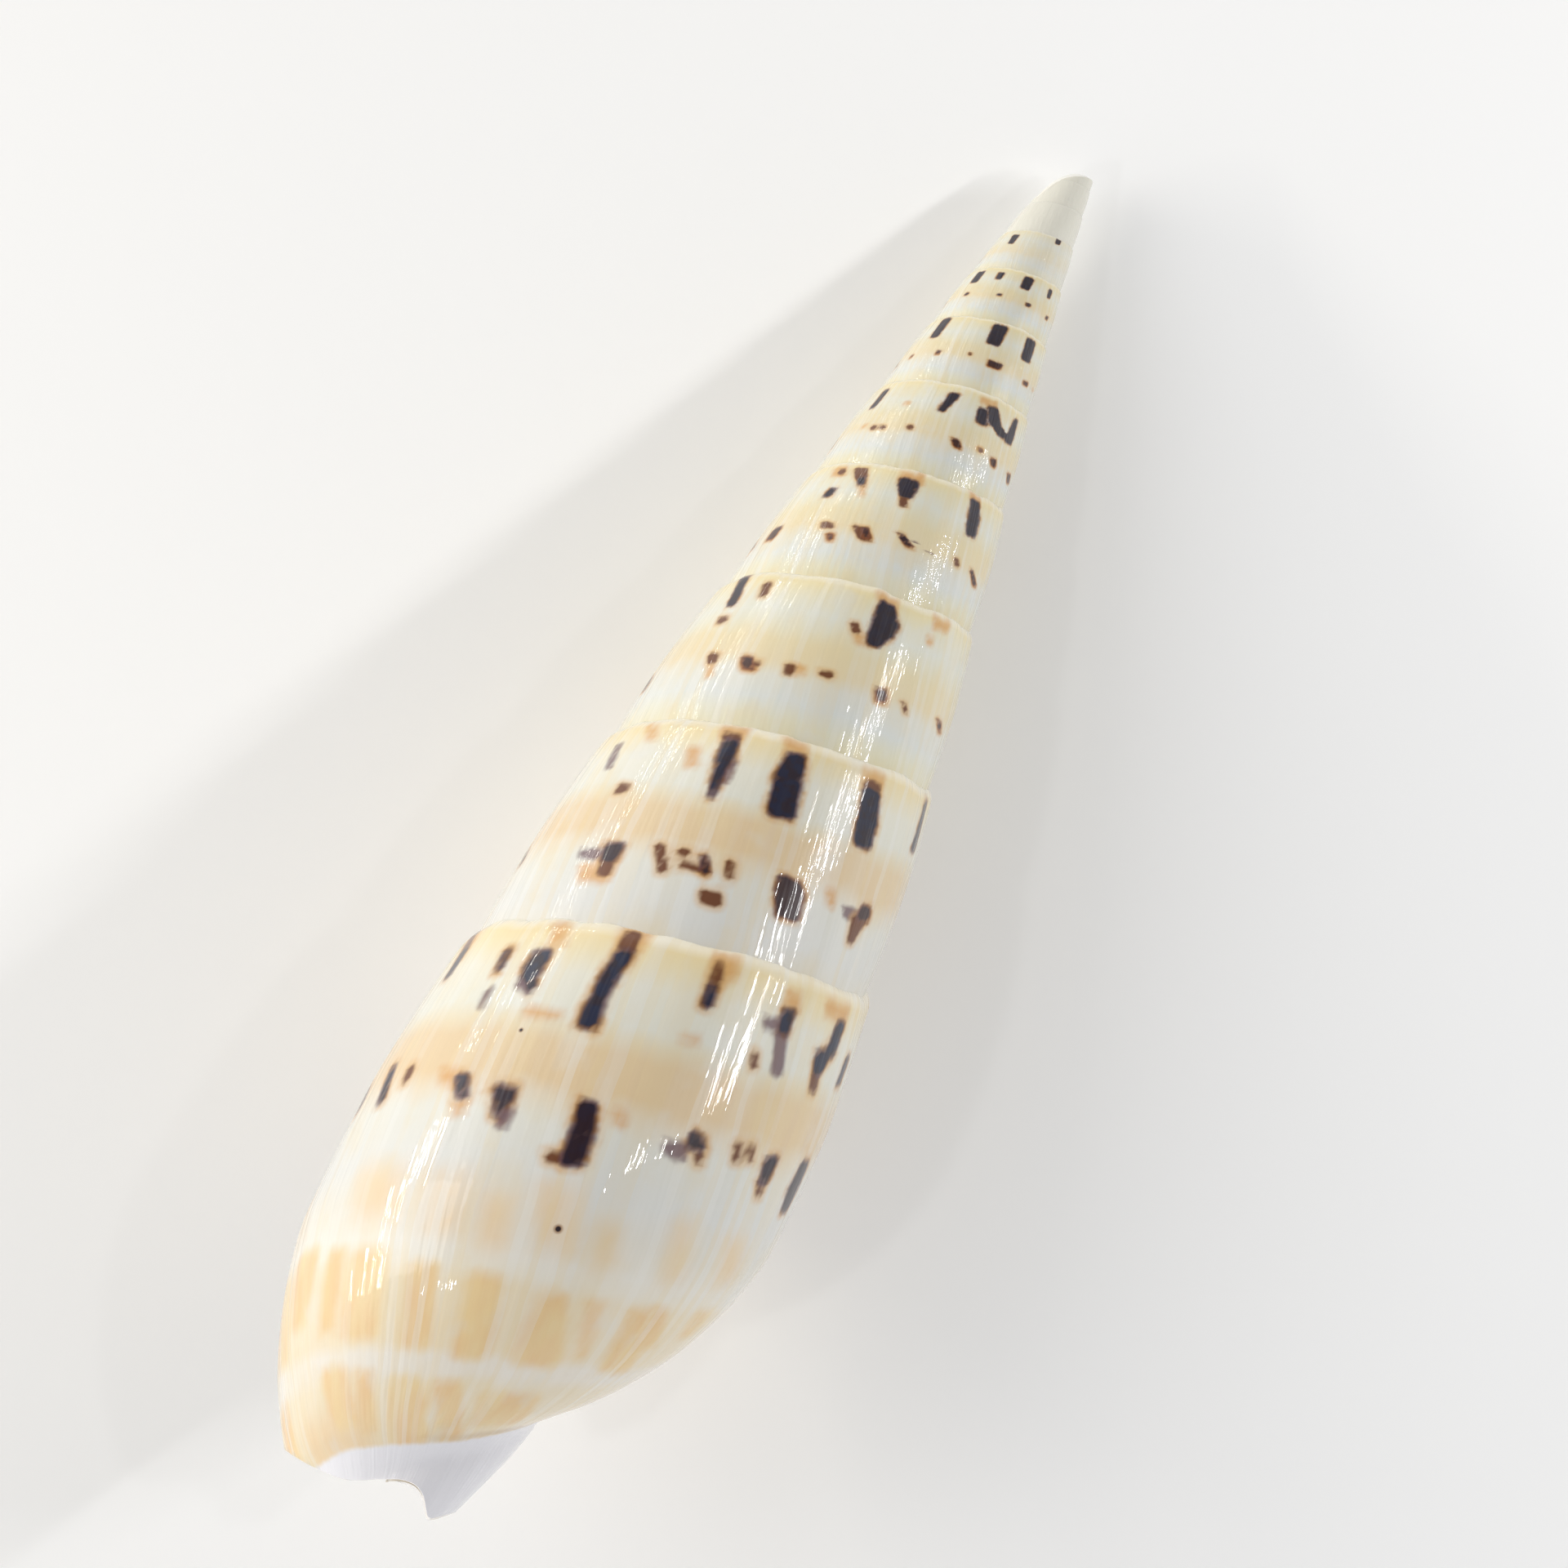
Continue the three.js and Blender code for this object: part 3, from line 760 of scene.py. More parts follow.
OCHRE = {
    0: [
        (-0.026, -0.036, 0.32, -0.028, -0.038, 0.345), (0.131, 0.117, 0.58, 0.125, 0.113, 0.62),
        (0.108, 0.098, 0.67, 0.101, 0.094, 0.73), (-0.004, -0.012, 0.62, -0.009, -0.015, 0.665),
        (0.113, 0.095, 0.03, 0.102, 0.088, 0.11), (0.092, 0.064, 0.34, 0.088, 0.062, 0.365),
        (-0.020, -0.041, 0.02, -0.024, -0.044, 0.105), (-0.087, -0.105, 0.07, -0.092, -0.107, 0.13),
        (-0.132, -0.170, 0.055, -0.138, -0.172, 0.11), (0.055, 0.032, 0.00, 0.052, 0.031, 0.06),
        (0.218, 0.194, 0.02, 0.214, 0.192, 0.09),
    ],
    1: [
        (0.008, -0.015, 0.02, 0.002, -0.020, 0.08), (0.123, 0.093, 0.74, 0.116, 0.085, 0.82),
        (-0.089, -0.098, 0.61, -0.097, -0.106, 0.68), (0.147, 0.134, 0.04, 0.135, 0.124, 0.125),
        (0.085, 0.074, 0.15, 0.076, 0.066, 0.25), (0.068, 0.042, 0.02, 0.062, 0.040, 0.07),
        (-0.080, -0.108, 0.04, -0.082, -0.110, 0.10),
    ],
    2: [
        (-0.014, -0.044, 0.03, -0.018, -0.048, 0.08), (-0.008, -0.019, 0.30, -0.015, -0.027, 0.36),
        (0.123, 0.116, 0.65, 0.116, 0.109, 0.735), (0.034, 0.021, 0.59, 0.030, 0.020, 0.63),
        (-0.099, -0.132, 0.04, -0.104, -0.128, 0.105), (-0.098, -0.108, 0.175, -0.101, -0.110, 0.21),
    ],
    3: [
        (0.145, 0.123, 0.06, 0.141, 0.114, 0.145), (0.081, 0.072, 0.22, 0.072, 0.063, 0.31),
        (0.033, 0.000, 0.04, 0.030, -0.004, 0.10), (0.006, -0.004, 0.02, -0.001, -0.010, 0.11),
        (-0.086, -0.112, 0.02, -0.090, -0.114, 0.07),
    ],
    4: [
        (-0.068, -0.082, 0.56, -0.069, -0.081, 0.60), (0.096, 0.084, 0.29, 0.095, 0.085, 0.33),
        (0.156, 0.144, 0.55, 0.155, 0.145, 0.59), (-0.035, -0.075, 0.06, -0.040, -0.080, 0.12),
    ],
    5: [(-0.182, -0.198, 0.63, -0.183, -0.197, 0.67)],
}

# The tan squares of the base in two rows, and the softer blush above and below them
TAN = {
    0: [
        (0.223, 0.181, 1.15, 0.222, 0.186, 1.39), (0.167, 0.149, 1.17, 0.165, 0.144, 1.43),
        (0.144, 0.108, 1.18, 0.138, 0.097, 1.46), (0.087, 0.064, 1.21, 0.078, 0.048, 1.49),
        (0.043, 0.013, 1.22, 0.030, -0.002, 1.51), (-0.013, -0.035, 1.24, -0.018, -0.068, 1.51),
        (-0.051, -0.066, 1.24, -0.072, -0.081, 1.46), (-0.086, -0.104, 1.24, -0.107, -0.149, 1.51),
        (-0.106, -0.121, 1.22, -0.127, -0.148, 1.39), (-0.155, -0.200, 1.21, -0.164, -0.189, 1.33),
        (0.164, 0.126, 1.55, 0.147, 0.114, 1.76), (0.119, 0.098, 1.56, 0.111, 0.091, 1.80),
        (0.082, 0.045, 1.59, 0.079, 0.024, 1.88), (0.037, 0.011, 1.60, 0.015, -0.020, 1.89),
        (-0.010, -0.075, 1.63, -0.024, -0.087, 1.82),
    ],
}
BLUSH = {
    0: [
        (0.159, 0.121, 0.92, 0.146, 0.109, 1.07), (0.099, 0.068, 0.92, 0.088, 0.058, 1.10),
        (0.052, 0.032, 0.97, 0.043, 0.024, 1.12), (0.020, -0.005, 0.90, 0.003, -0.022, 1.10),
        (-0.033, -0.043, 1.00, -0.042, -0.054, 1.11), (-0.083, -0.095, 0.93, -0.098, -0.112, 1.11),
        (-0.133, -0.156, 0.94, -0.149, -0.170, 1.08), (0.205, 0.110, 1.70, 0.200, 0.100, 1.88),
    ],
}
# Small round pits: growth turn and share of the side, then radius on the growth map
PITS = [(-0.0055, 1.031, 0.0032), (0.0843, 0.42, 0.0018)]
# the growth turns between which the back view shows a whorl
SEEN_FROM, SEEN_TO = -0.215, 0.215
SEED = 11

# The marks that the back view doesn't show: the ranges of their width, height and top edge and of
# the gap after them, in the upper row and the lower row, and how often each kind comes
UPPER_WIDTH, UPPER_TALL, UPPER_TOP, UPPER_GAP = (0.008, 0.020), (0.11, 0.28), (0.06, 0.13), (0.03, 0.08)
LOWER_WIDTH, LOWER_TALL, LOWER_TOP, LOWER_GAP = (0.006, 0.017), (0.05, 0.16), (0.58, 0.63), (0.016, 0.06)
UPPER_DARK, UPPER_OCHRE, UPPER_BROWN, UPPER_MAUVE = 0.75, 0.6, 0.35, 0.3
LOWER_DARK, LOWER_OCHRE = 0.55, 0.25
SQUARE_ROWS = [("tan", 1.18, 1.46), ("tan", 1.57, 1.84), ("blush", 0.94, 1.09)]
SQUARE_WIDTH, SQUARE_GAP = (0.012, 0.045), (0.006, 0.022)
SQUARE_SLANT, SQUARE_SHIFT = (0.004, 0.012), (-0.03, 0.03)

# On the growth map: one turn round the last whorl, the farthest distance that is kept, and how far
# two marks that touch run into each other
ROUND, FAR, MELT = 1.38, 0.03, 0.003
# how round the corners of a mark are, and how many rows the table of the lean has
CORNER_SHARE, LEAN_ROWS = 0.4, 600


def blotch(place, width, top, tall, chance):
    """One mark: one to three pieces down the whorl, each a little aside of the last."""
    pieces = []
    left, right = place + width, place
    count = chance.choice((1, 2, 2, 3))
    for _ in range(count):
        foot = top + tall / count
        waist, aside = width * chance.uniform(0.55, 1.0), chance.uniform(-0.001, 0.006)
        middle = (left + right) / 2 - aside
        pieces.append((left, right, top, middle + waist / 2, middle - waist / 2, foot + 0.01))
        waist, top = width * chance.uniform(0.6, 1.1), foot
        left, right = middle + waist / 2, middle - waist / 2
    return pieces


def unseen_marks(whorl, chance):
    """More marks of the same kinds for the part of a whorl that the back view doesn't show."""
    dark, brown, mauve, ochre = [], [], [], []
    end = LIP_TURN - 0.01 if whorl == 0 else 1 + SEEN_FROM - 0.01
    place = SEEN_TO + 0.02
    while place < end - 0.02:
        width, tall = chance.uniform(*UPPER_WIDTH), chance.uniform(*UPPER_TALL)
        top, foot = chance.uniform(*UPPER_TOP), 0.0
        left, right = place + width, place
        if chance.random() < UPPER_DARK:
            dark += blotch(place, width, top, tall, chance)
            foot = top + tall
        else:
            brown += blotch(place, width * 0.6, top, tall * 0.5, chance)
        if chance.random() < UPPER_OCHRE:
            ochre.append((left + 0.002, right, top - 0.06, left - 0.001, right - 0.003, top + 0.02))
        if foot and chance.random() < UPPER_BROWN:
            brown.append((left - 0.004, right + 0.001, foot, left - 0.008, right - 0.002, foot + 0.06))
        if foot and chance.random() < UPPER_MAUVE:
            mauve.append((right, right - 0.007, top + 0.06, right - 0.002, right - 0.010, top + 0.15))
        place += width + chance.uniform(*UPPER_GAP)
    place = SEEN_TO + 0.01
    while place < end - 0.02:
        width, tall = chance.uniform(*LOWER_WIDTH), chance.uniform(*LOWER_TALL)
        top = chance.uniform(*LOWER_TOP)
        kinds = dark if chance.random() < LOWER_DARK else brown
        kinds += blotch(place, width, top, tall, chance)
        if chance.random() < LOWER_OCHRE:
            foot = top + tall
            ochre.append((place + width, place, foot, place + width * 0.8, place - 0.003, foot + 0.06))
        place += width + chance.uniform(*LOWER_GAP)
    return dark, brown, mauve, ochre


def unseen_squares(top, foot, chance):
    """The rest of a row of squares, on the parts of the base that the back view doesn't show."""
    squares = []
    for low, high in ((FIRST_OPEN - 0.1, SEEN_FROM - 0.005), (SEEN_TO + 0.015, LIP_TURN - 0.012)):
        place = low
        while place < high - SQUARE_WIDTH[0]:
            width = min(chance.uniform(*SQUARE_WIDTH), high - place)
            slant, lower = chance.uniform(*SQUARE_SLANT), chance.uniform(*SQUARE_SHIFT)
            left, right = place + width, place
            squares.append((left, right, top + lower, left - slant, right - slant, foot + lower))
            place += width + chance.uniform(*SQUARE_GAP)
    return squares


def pattern_marks():
    """All marks, each with its growth turns as they run along the whole shell."""
    chance = random.Random(SEED)
    found = {name: [] for name in ("dark", "brown", "mauve", "ochre", "tan", "blush")}
    by_eye = dict(zip(found, (DARK, BROWN, MAUVE, OCHRE, TAN, BLUSH)))
    for whorl in DARK:
        drawn = dict(zip(found, unseen_marks(whorl, chance)))
        for name, marks in found.items():
            for mark in by_eye[name].get(whorl, []) + drawn.get(name, []):
                left_a, right_a, top, left_b, right_b, foot = mark
                marks.append((left_a - whorl, right_a - whorl, top, left_b - whorl, right_b - whorl, foot))
    for name, top, foot in SQUARE_ROWS:
        found[name] += unseen_squares(top, foot, chance)
    return found


def paint_distances(piece):
    """Attributes that hold, at each corner of the mesh, how far outside the nearest mark it lies
    on the growth map."""
    mesh = piece.data
    uv = np.zeros(len(mesh.loops) * 2)
    mesh.uv_layers["growth"].data.foreach_get("uv", uv)
    turn, down = uv.reshape(-1, 2).T
    table = np.linspace(0, TAIL_END, LEAN_ROWS)
    leans = [lean(outline_spot(along)[1]) for along in table]
    turn = turn + np.interp(down / ON_MAP, table, leans)
    order = np.argsort(turn)
    turns, downs = turn[order], down[order]
    side = SIDE_LENGTH * ON_MAP
    for name, marks in pattern_marks().items():
        nearest = np.full(len(turns), FAR)
        for left_a, right_a, top, left_b, right_b, foot in marks:
            low, high = np.searchsorted(
                turns, (min(right_a, right_b) - FAR / ROUND, max(left_a, left_b) + FAR / ROUND)
            )
            here, below = turns[low:high], downs[low:high]
            top, foot = top * side, foot * side
            share = np.clip((below - top) / (foot - top), 0, 1)
            left, right = left_a + (left_b - left_a) * share, right_a + (right_b - right_a) * share
            half, tall = (left - right) / 2 * ROUND, (foot - top) / 2
            corner = CORNER_SHARE * np.minimum(half, tall)
            across = np.abs(here - (left + right) / 2) * ROUND - half + corner
            along = np.abs(below - (top + foot) / 2) - tall + corner
            outer = np.hypot(np.maximum(across, 0), np.maximum(along, 0))
            found = outer + np.minimum(np.maximum(across, along), 0) - corner
            nearest[low:high] = -MELT * np.logaddexp(-nearest[low:high] / MELT, -found / MELT)
        values = np.empty(len(turns))
        values[order] = nearest
        mesh.attributes.new(name, "FLOAT", "CORNER").data.foreach_set("value", values)


paint_distances(shell)


# Finishes

def node(tree, kind, inputs=None, **settings):
    """A shader node. Each of its inputs is a value or the output of another node."""
    made = tree.nodes.new("ShaderNode" + kind)
    for name, value in settings.items():
        setattr(made, name, value)
    for name, value in (inputs or {}).items():
        if isinstance(value, bpy.types.NodeSocket):
            tree.links.new(value, made.inputs[name])
        else:
            made.inputs[name].default_value = value
    return made


def new_tree(owner):
    """The empty node tree of a material or a world."""
    owner.use_nodes = True
    tree = owner.node_tree
    tree.nodes.clear()
    return tree


def rgb(code):
    """A colour written as it looks on screen, as the numbers that the shader takes."""
    values = [int(code[i : i + 2], 16) / 255 for i in (0, 2, 4)]
    return (*(v / 12.92 if v <= 0.04045 else ((v + 0.055) / 1.055) ** 2.4 for v in values), 1.0)


def maths(tree, operation, *values, clamp=False):
    return node(tree, "Math", dict(enumerate(values)), operation=operation, use_clamp=clamp).outputs[0]


def fade(tree, value, low, high, to_low=0.0, to_high=1.0):
    """Runs smoothly from to_low to to_high as the value goes from low to high."""
    return node(
        tree, "MapRange",
        {"Value": value, "From Min": low, "From Max": high, "To Min": to_low, "To Max": to_high},
        interpolation_type="SMOOTHSTEP",
    ).outputs["Result"]


def blend(tree, share, below, above):
    """Lays a share of the colour above over the colour below."""
    return node(tree, "Mix", {0: share, 6: below, 7: above}, data_type="RGBA").outputs[2]


def tint(tree, colour, code, value, low, high, most=1.0):
    """Lays another colour over the first, up to this share of it as the value goes from low to high."""
    return blend(tree, fade(tree, value, low, high, 0.0, most), colour, rgb(code))


def speckle(tree, where, scale, detail=2.0, rough=0.5):
    return node(
        tree, "TexNoise", {"Vector": where, "Scale": scale, "Detail": detail, "Roughness": rough}
    ).outputs["Fac"]


def stretched(tree, place, across, along):
    """The place on the growth map, with its own scale round the whorl and down it."""
    scale = (across * ROUND, along, 0.0)
    return node(tree, "VectorMath", {0: place, 1: scale}, operation="MULTIPLY").outputs[0]


def mottle(tree, place, across, along, detail=1.0):
    """Noise on the growth map, as fine as this round the whorl and down it."""
    return speckle(tree, stretched(tree, place, across, along), 1.0, detail)


def waver(tree, place, across, along, detail=1.0):
    """The same noise, about as often below zero as above."""
    return maths(tree, "SUBTRACT", mottle(tree, place, across, along, detail), 0.5)


def ramp(tree, value, stops):
    """The colour that the stops give for this value."""
    made = node(tree, "ValToRGB", {"Fac": value})
    steps = made.color_ramp.elements
    steps[0].position, steps[0].color = stops[0][0], rgb(stops[0][1])
    steps[1].position, steps[1].color = stops[-1][0], rgb(stops[-1][1])
    for place, code in stops[1:-1]:
        steps.new(place).color = rgb(code)
    return made.outputs["Color"]


def growth_relief(tree, place):
    """The height of the fine growth lines: narrow ones on broader ones, broken up a little."""
    height = maths(tree, "MULTIPLY", mottle(tree, place, 150, 7), 0.4)
    for across, along, share in ((50, 4, 0.6), (120, 60, 0.12)):
        height = maths(tree, "MULTIPLY_ADD", mottle(tree, place, across, along), share, height)
    return height


def growth_group():
    """Growth lines for every glazed surface: a height for the relief and a mask of pale streaks."""
    lines = bpy.data.node_groups.new("growth_lines", "ShaderNodeTree")
    lines.interface.new_socket("Place", in_out="INPUT", socket_type="NodeSocketVector")
    for name in ("Height", "Streaks"):
        lines.interface.new_socket(name, in_out="OUTPUT", socket_type="NodeSocketFloat")
    place = lines.nodes.new("NodeGroupInput").outputs["Place"]
    end = lines.nodes.new("NodeGroupOutput")
    lines.links.new(growth_relief(lines, place), end.inputs["Height"])
    streaks = fade(lines, mottle(lines, place, 22, 1.6, 0.0), 0.55, 0.85)
    lines.links.new(streaks, end.inputs["Streaks"])
    return lines


GROWTH_LINES = growth_group()

# The colours of the bands by their distance below the suture, on the growth map
BANDS = [
    (0.0, "ece6d4"), (0.007, "ebe3cd"), (0.015, "e3d1a3"), (0.030, "e1d4b0"), (0.055, "dcd9ca"),
    (0.098, "d8d7cb"), (0.112, "d9ceb4"), (0.128, "d8c19d"), (0.165, "d8c09b"), (0.182, "d9cdb8"),
    (0.205, "d6d5cc"), (0.262, "d4d4d0"), (0.300, "d8d4c9"), (0.332, "dedad0"), (0.348, "dfd8c8"),
    (0.362, "dfd2b8"), (0.425, "dfd1b6"), (0.438, "dfd8cc"), (0.452, "dfd8cc"), (0.466, "dfd3bb"),
    (0.530, "dfd0b2"), (0.549, "dccab0"), (0.70, "dccab0"),
]
# The same on the spire, where the middle band is yellower
SPIRE_BANDS = [
    (0.0, "ece6d0"), (0.007, "ebe3cb"), (0.016, "e2d4a6"), (0.036, "ddd5b6"), (0.075, "d8d8cb"),
    (0.105, "dad4ba"), (0.130, "dccfa9"), (0.170, "dccda9"), (0.195, "d7d4c6"), (0.235, "d3d6d1"),
    (0.268, "dad6bd"), (0.300, "dcd2ac"), (0.70, "dcd2ac"),
]


def place_on_shell(tree):
    return node(tree, "UVMap", uv_map="growth").outputs["UV"]


def distance_to(tree, name, ragged):
    """The painted distance with an uneven edge."""
    far = node(tree, "Attribute", attribute_name=name).outputs["Fac"]
    return maths(tree, "ADD", far, ragged)


def lay_bands(tree, turn, down, wander):
    """The bands along the growth. They wander on the side, less under the suture and on the base."""
    level = maths(tree, "MULTIPLY_ADD", wander, 0.03, down)
    steady = maths(tree, "MULTIPLY_ADD", wander, 0.006, down)
    calm = maths(tree, "ADD", fade(tree, down, 0.05, 0.03), fade(tree, down, 0.30, 0.33))
    level = node(tree, "Mix", {0: calm, 2: level, 3: steady}).outputs[0]
    on_spire = fade(tree, turn, -0.9, -2.2)
    return blend(tree, on_spire, ramp(tree, level, BANDS), ramp(tree, level, SPIRE_BANDS))


def add_squares(tree, colour, place, softly):
    """The tan squares and the blush of the base."""
    colour = tint(tree, colour, "dfc298", distance_to(tree, "blush", softly), 0.024, -0.018, 0.75)
    patches = fade(tree, mottle(tree, place, 30, 12, 2.0), 0.3, 0.7)
    square = blend(tree, patches, rgb("ddb988"), rgb("e0c795"))
    tan = distance_to(tree, "tan", softly)
    return blend(tree, fade(tree, tan, 0.010, -0.009, 0.0, 0.95), colour, square)


def add_stripes(tree, colour, place, turn, wander, streaks):
    """Broad growth stripes, warmer and paler clouds, thin pale lines, and the paler first whorls."""
    where = maths(tree, "MULTIPLY", maths(tree, "MULTIPLY_ADD", wander, 0.012, turn), 30.0)
    stripe = node(tree, "TexVoronoi", {"W": where}, voronoi_dimensions="1D").outputs["Color"]
    stripe = node(tree, "SeparateColor", {0: stripe}).outputs[0]
    colour = tint(tree, colour, "e2e1dc", stripe, 0.6, 1.0, 0.3)
    colour = tint(tree, colour, "dfcb9f", stripe, 0.4, 0.0, 0.22)
    cloud = mottle(tree, place, 16, 12, 3.0)
    colour = tint(tree, colour, "dccaa0", cloud, 0.5, 0.72, 0.32)
    colour = tint(tree, colour, "d6d8d6", cloud, 0.45, 0.28, 0.32)
    colour = blend(tree, maths(tree, "MULTIPLY", streaks, 0.22), colour, rgb("e6e3da"))
    return tint(tree, colour, "dcd9cc", turn, -6.6, -7.5)


def add_fasciole(tree, colour, turn, down, sway):
    """The pale fasciole, and painted shade along the groove above it, which fades towards the lip."""
    edge = FASCIOLE_AT * ON_MAP
    rise = fade(tree, turn, RISE_FROM, RISE_TO, 0.0, FASCIOLE_RISE * ON_MAP)
    beyond = maths(tree, "ADD", down, maths(tree, "MULTIPLY_ADD", sway, 0.004, rise))
    groove = maths(tree, "ABSOLUTE", maths(tree, "SUBTRACT", beyond, edge - 0.007))
    most = fade(tree, turn, 0.12, -0.05, 0.0, 0.45)
    # painted shade in the groove above the fasciole, stronger away from the lip
    painted_groove_shade = maths(tree, "MULTIPLY", fade(tree, groove, 0.010, 0.0), most)
    colour = blend(tree, painted_groove_shade, colour, rgb("b09474"))
    return tint(tree, colour, "e0dfe4", beyond, edge - 0.004, edge + 0.004)


def add_marks(tree, colour, place, turn, down, grain, ragged, softly):
    """The marks, from the palest to the darkest."""
    colour = tint(tree, colour, "cf9750", distance_to(tree, "ochre", softly), 0.010, -0.008, 0.8)
    dark = distance_to(tree, "dark", ragged)
    low_row = fade(tree, down, 0.15, 0.19)
    early = fade(tree, turn, -0.6, -1.7)
    reddish = maths(tree, "MULTIPLY", low_row, early)
    patchy = fade(tree, mottle(tree, place, 45, 45, 2.0), 0.35, 0.62, 0.2, 0.9)
    halo = maths(tree, "MULTIPLY", fade(tree, dark, 0.012, 0.0), maths(tree, "MAXIMUM", patchy, reddish))
    colour = blend(tree, halo, colour, rgb("c99a60"))
    colour = tint(tree, colour, "5e3a48", distance_to(tree, "mauve", softly), 0.007, -0.003, 0.84)
    brown = distance_to(tree, "brown", ragged)
    colour = tint(tree, colour, "d0a160", brown, 0.012, 0.0, 0.6)
    colour = tint(tree, colour, "602e10", brown, 0.005, -0.002, 0.94)
    rim = blend(tree, patchy, rgb("5a4250"), rgb("5e381c"))
    rim = blend(tree, reddish, rim, rgb("7a4018"))
    colour = blend(tree, fade(tree, dark, 0.0055, -0.0010, 0.0, 0.9), colour, rim)
    core = blend(tree, fade(tree, grain, -0.1, 0.12), rgb("121c38"), rgb("1f1524"))
    for share, most, code in ((early, 0.6, "24151c"), (low_row, 0.7, "26121a"), (reddish, 0.85, "45210f")):
        core = blend(tree, maths(tree, "MULTIPLY", share, most), core, rgb(code))
    return blend(tree, fade(tree, dark, 0.0006, -0.0038, 0.0, 0.98), colour, core)


def add_pits(tree, colour, place):
    """Small round pits, dark inside a brown rim."""
    for turn, share, radius in PITS:
        along = share * SIDE_LENGTH
        centre = ((turn - lean(outline_spot(along)[1])) * ROUND, along * ON_MAP, 0.0)
        ends = {0: stretched(tree, place, 1.0, 1.0), 1: centre}
        away = node(tree, "VectorMath", ends, operation="DISTANCE").outputs["Value"]
        colour = tint(tree, colour, "a5876c", away, radius * 1.9, radius * 0.8)
        colour = tint(tree, colour, "2a2024", away, radius * 1.05, radius * 0.6)
    return colour


def glaze_outside():
    """The patterned glaze, over a fine relief of growth lines."""
    tree = new_tree(FINISHES[OUTSIDE])
    place = place_on_shell(tree)
    lines = node(tree, "Group", {"Place": place}, node_tree=GROWTH_LINES).outputs
    turn, down = (node(tree, "SeparateXYZ", {0: place}).outputs[axis] for axis in "XY")
    # uneven edges: waves along the growth lines, and a finer grain
    sway, grain = waver(tree, place, 55, 14), waver(tree, place, 70, 70)
    ragged = maths(tree, "MULTIPLY_ADD", grain, 0.004, maths(tree, "MULTIPLY", sway, 0.006))
    softly = maths(tree, "MULTIPLY", ragged, 1.5)
    wander = waver(tree, place, 22, 8, 2.0)

    colour = lay_bands(tree, turn, down, wander)
    colour = add_squares(tree, colour, place, softly)
    colour = add_stripes(tree, colour, place, turn, wander, lines["Streaks"])
    colour = add_fasciole(tree, colour, turn, down, sway)
    colour = add_marks(tree, colour, place, turn, down, grain, ragged, softly)
    colour = add_pits(tree, colour, place)

    shallow, deep = (
        node(tree, "Bump", {"Height": height, "Strength": 1.0, "Distance": depth}).outputs["Normal"]
        for height, depth in ((lines["Height"], 0.00006), (growth_relief(tree, place), 0.0002))
    )
    surface = node(
        tree, "BsdfPrincipled",
        {
            "Base Color": colour, "Roughness": fade(tree, lines["Streaks"], 0, 1, 0.32, 0.40),
            "Specular IOR Level": 0.2, "Normal": shallow,
            "Coat Weight": 0.8, "Coat Roughness": 0.03, "Coat Normal": deep,
        },
    )
    node(tree, "OutputMaterial", {"Surface": surface.outputs["BSDF"]})


def glaze_plain(which, pale, warm, roughness, coat):
    """The glaze where there is no pattern: pale, with warmer clouds and the growth lines."""
    tree = new_tree(FINISHES[which])
    lines = node(tree, "Group", {"Place": place_on_shell(tree)}, node_tree=GROWTH_LINES).outputs
    where = node(tree, "TexCoord").outputs["Object"]
    cloud = fade(tree, speckle(tree, where, 130.0, 3.0), 0.4, 0.7)
    cloud = maths(tree, "SUBTRACT", cloud, maths(tree, "MULTIPLY", lines["Streaks"], 0.5), clamp=True)
    pores = speckle(tree, where, 900.0, 3.0, 0.6)
    bump = node(tree, "Bump", {"Height": pores, "Strength": 0.15, "Distance": 0.0003}).outputs["Normal"]
    surface = node(
        tree, "BsdfPrincipled",
        {
            "Base Color": blend(tree, cloud, rgb(pale), rgb(warm)), "Roughness": roughness,
            "Normal": bump, "Coat Weight": coat, "Coat Roughness": 0.12,
        },
    )
    node(tree, "OutputMaterial", {"Surface": surface.outputs["BSDF"]})


glaze_outside()
glaze_plain(INSIDE, "f3ece0", "efe0c6", 0.3, 0.6)
glaze_plain(MARGIN_CUT, "ebe8e6", "e6ddd0", 0.35, 0.5)
glaze_plain(WORN, "eceae3", "e2ddd0", 0.45, 0.3)


# Floor, light and camera

SHELL_MIDDLE = Vector((-0.02, 0, 0.03))
WHITE, WARM = (1, 1, 1), (1.0, 0.94, 0.82)
# Each light's name, the two ends that it runs between, its width, its power and its colour
LIGHTS = [
    ("key_softbox", (-0.45, 0.70, 0.62), (0.10, 0.85, 0.62), 0.4, 1.3, (1.0, 0.99, 0.97)),
    ("right_window", (0.12, -0.36, 0.33), (0.34, -0.37, 0.20), 0.012, 0.75, WHITE),
    ("left_window", (-0.28, 0.435, 0.18), (0.04, 0.49, 0.14), 0.012, 0.75, WARM),
    ("low_window", (0.08, 0.46, 0.07), (0.34, 0.42, 0.05), 0.008, 0.16, WARM),
    ("high_window", (-0.265, 0.18, 0.45), (-0.265, 0.20, 0.45), 0.018, 0.13, WHITE),
    ("far_window", (0.10, -0.235, 0.456), (0.10, -0.25, 0.456), 0.015, 0.09, WHITE),
]
# the way to the brighter side of the room
LIT_FROM = (-0.48, 0.83, 0.28)
CAMERA_LENS = 93.75
CAMERA_AT = (-0.02652, -0.001965, 0.409536)
CAMERA_ANGLES = (3.9706, -1.9563, -63.8119)


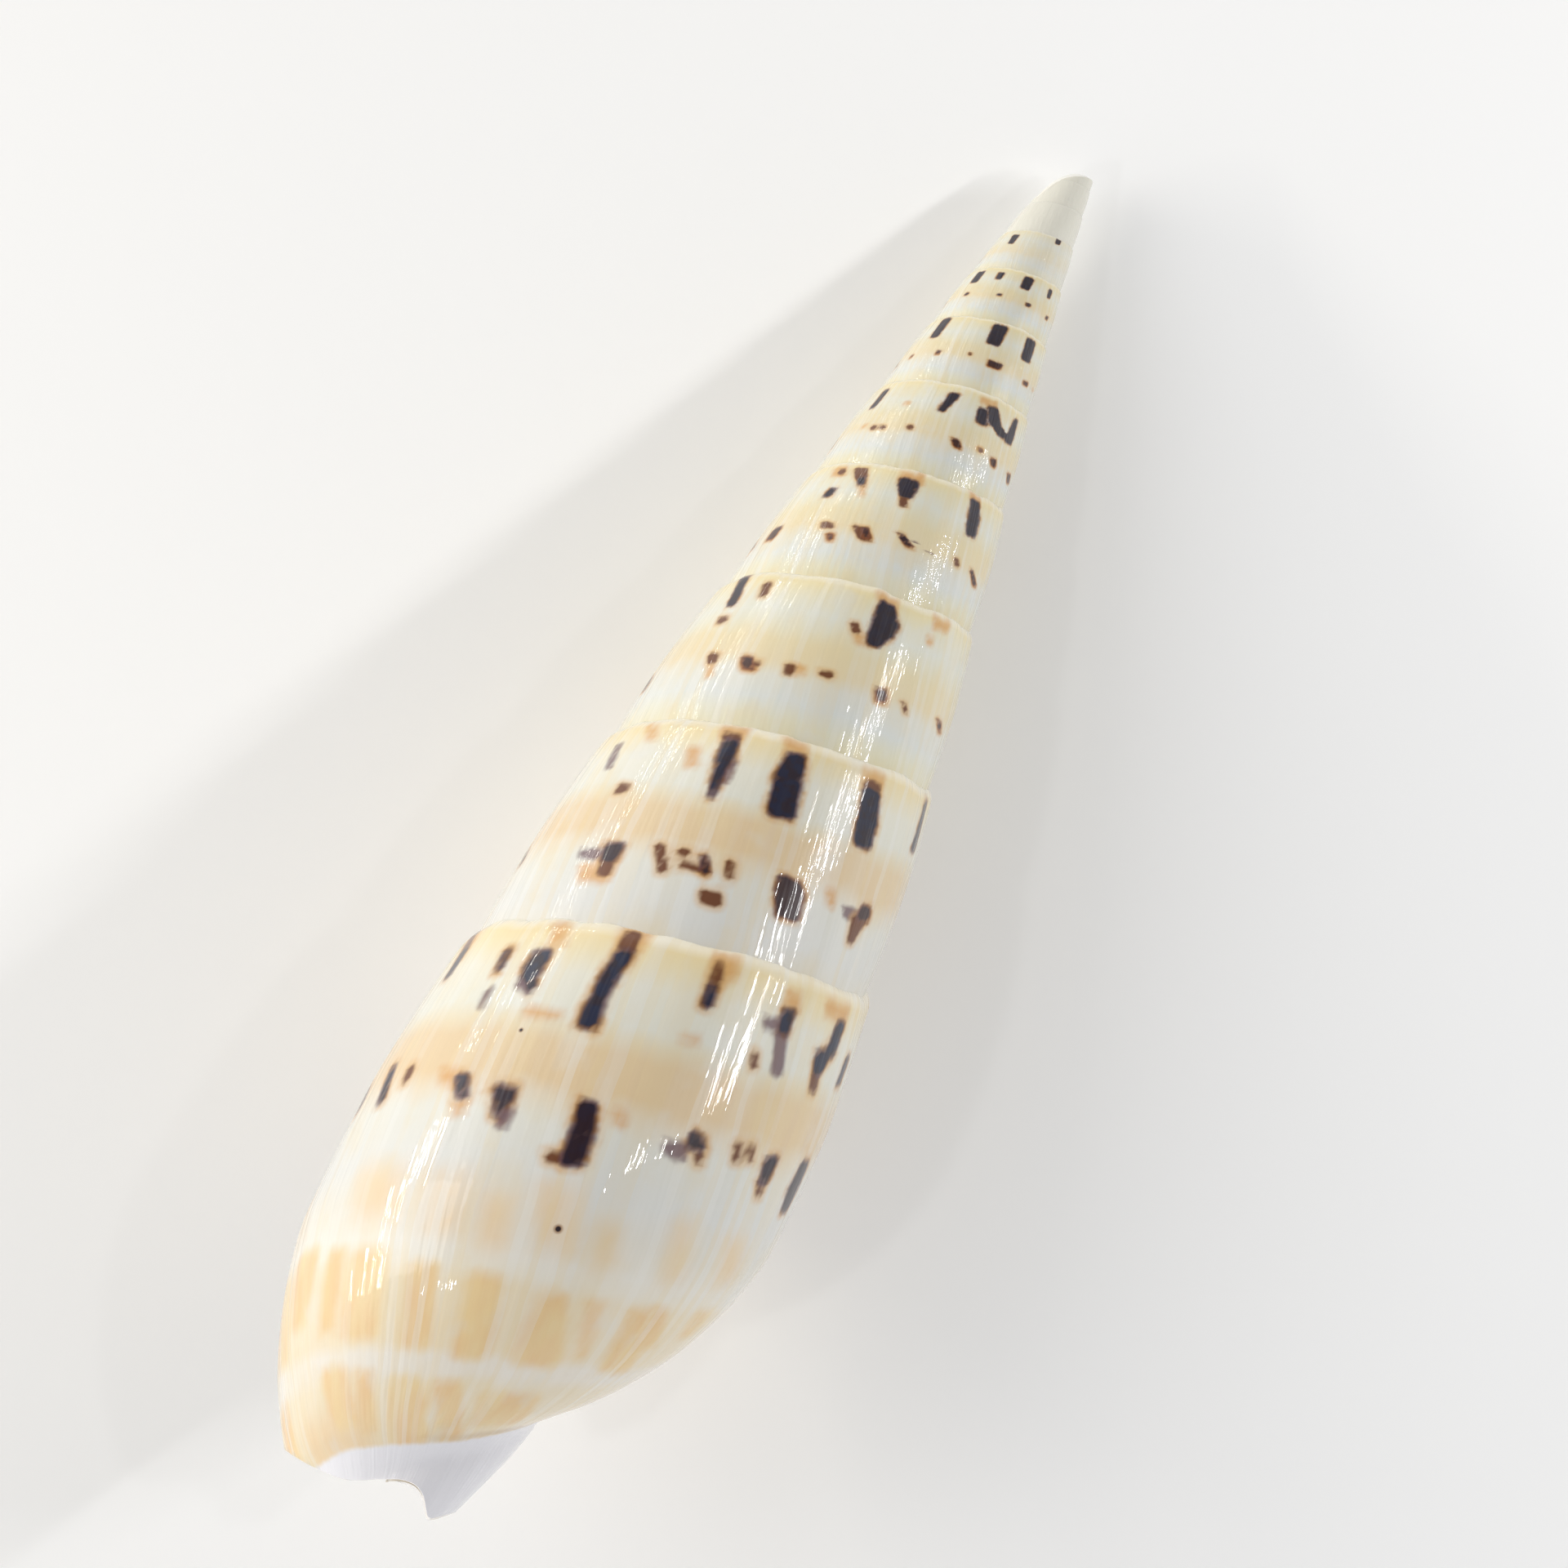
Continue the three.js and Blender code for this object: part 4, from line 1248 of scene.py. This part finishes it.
def area_light(name, start, end, width, power, colour):
    """A light as long as from start to end, with its face turned to the shell."""
    start, end = Vector(start), Vector(end)
    light = bpy.data.lights.new(name, "AREA")
    light.shape = "RECTANGLE"
    light.size, light.size_y = (end - start).length, width
    light.energy = power
    light.color = colour
    lamp = bpy.data.objects.new(name, light)
    lamp.visible_camera = False
    bpy.context.scene.collection.objects.link(lamp)
    middle = (start + end) / 2
    facing = (middle - SHELL_MIDDLE).normalized()
    side = facing.cross(end - start).normalized()
    turned = Matrix((side.cross(facing), side, facing)).transposed()
    lamp.matrix_world = Matrix.Translation(middle) @ turned.to_4x4()


def lay_floor():
    bpy.ops.object.select_all(action="DESELECT")
    bpy.ops.mesh.primitive_plane_add(size=3.0)
    floor = bpy.context.object
    floor.name = "floor"
    paper = bpy.data.materials.new("pale_paper")
    floor.data.materials.append(paper)
    tree = new_tree(paper)
    surface = node(tree, "BsdfPrincipled", {"Base Color": (0.97, 0.97, 0.97, 1), "Roughness": 0.8})
    node(tree, "OutputMaterial", {"Surface": surface.outputs["BSDF"]})


def light_room():
    """A glow from all round, stronger low down and on the lit side."""
    world = bpy.data.worlds.new("studio")
    bpy.context.scene.world = world
    tree = new_tree(world)
    direction = node(tree, "TexCoord").outputs["Generated"]
    height = node(tree, "SeparateXYZ", {0: direction}).outputs["Z"]
    ways = {0: direction, 1: LIT_FROM}
    lit_side = node(tree, "VectorMath", ways, operation="DOT_PRODUCT").outputs["Value"]
    by_height = fade(tree, height, 0.2, 0.95, 1.3, 0.16)
    by_side = fade(tree, lit_side, -0.9, 0.9, 0.58, 1.28)
    strength = maths(tree, "MULTIPLY", by_height, by_side)
    glow = node(tree, "Background", {"Color": (1, 1, 1, 1), "Strength": strength})
    node(tree, "OutputWorld", {"Surface": glow.outputs["Background"]})


def set_camera():
    camera = bpy.data.objects.new("camera", bpy.data.cameras.new("camera"))
    bpy.context.scene.collection.objects.link(camera)
    bpy.context.scene.camera = camera
    camera.data.lens = CAMERA_LENS
    camera.location = CAMERA_AT
    camera.rotation_euler = Euler([math.radians(angle) for angle in CAMERA_ANGLES])


lay_floor()
light_room()
for settings in LIGHTS:
    area_light(*settings)
set_camera()
bpy.context.scene.view_settings.view_transform = "Standard"
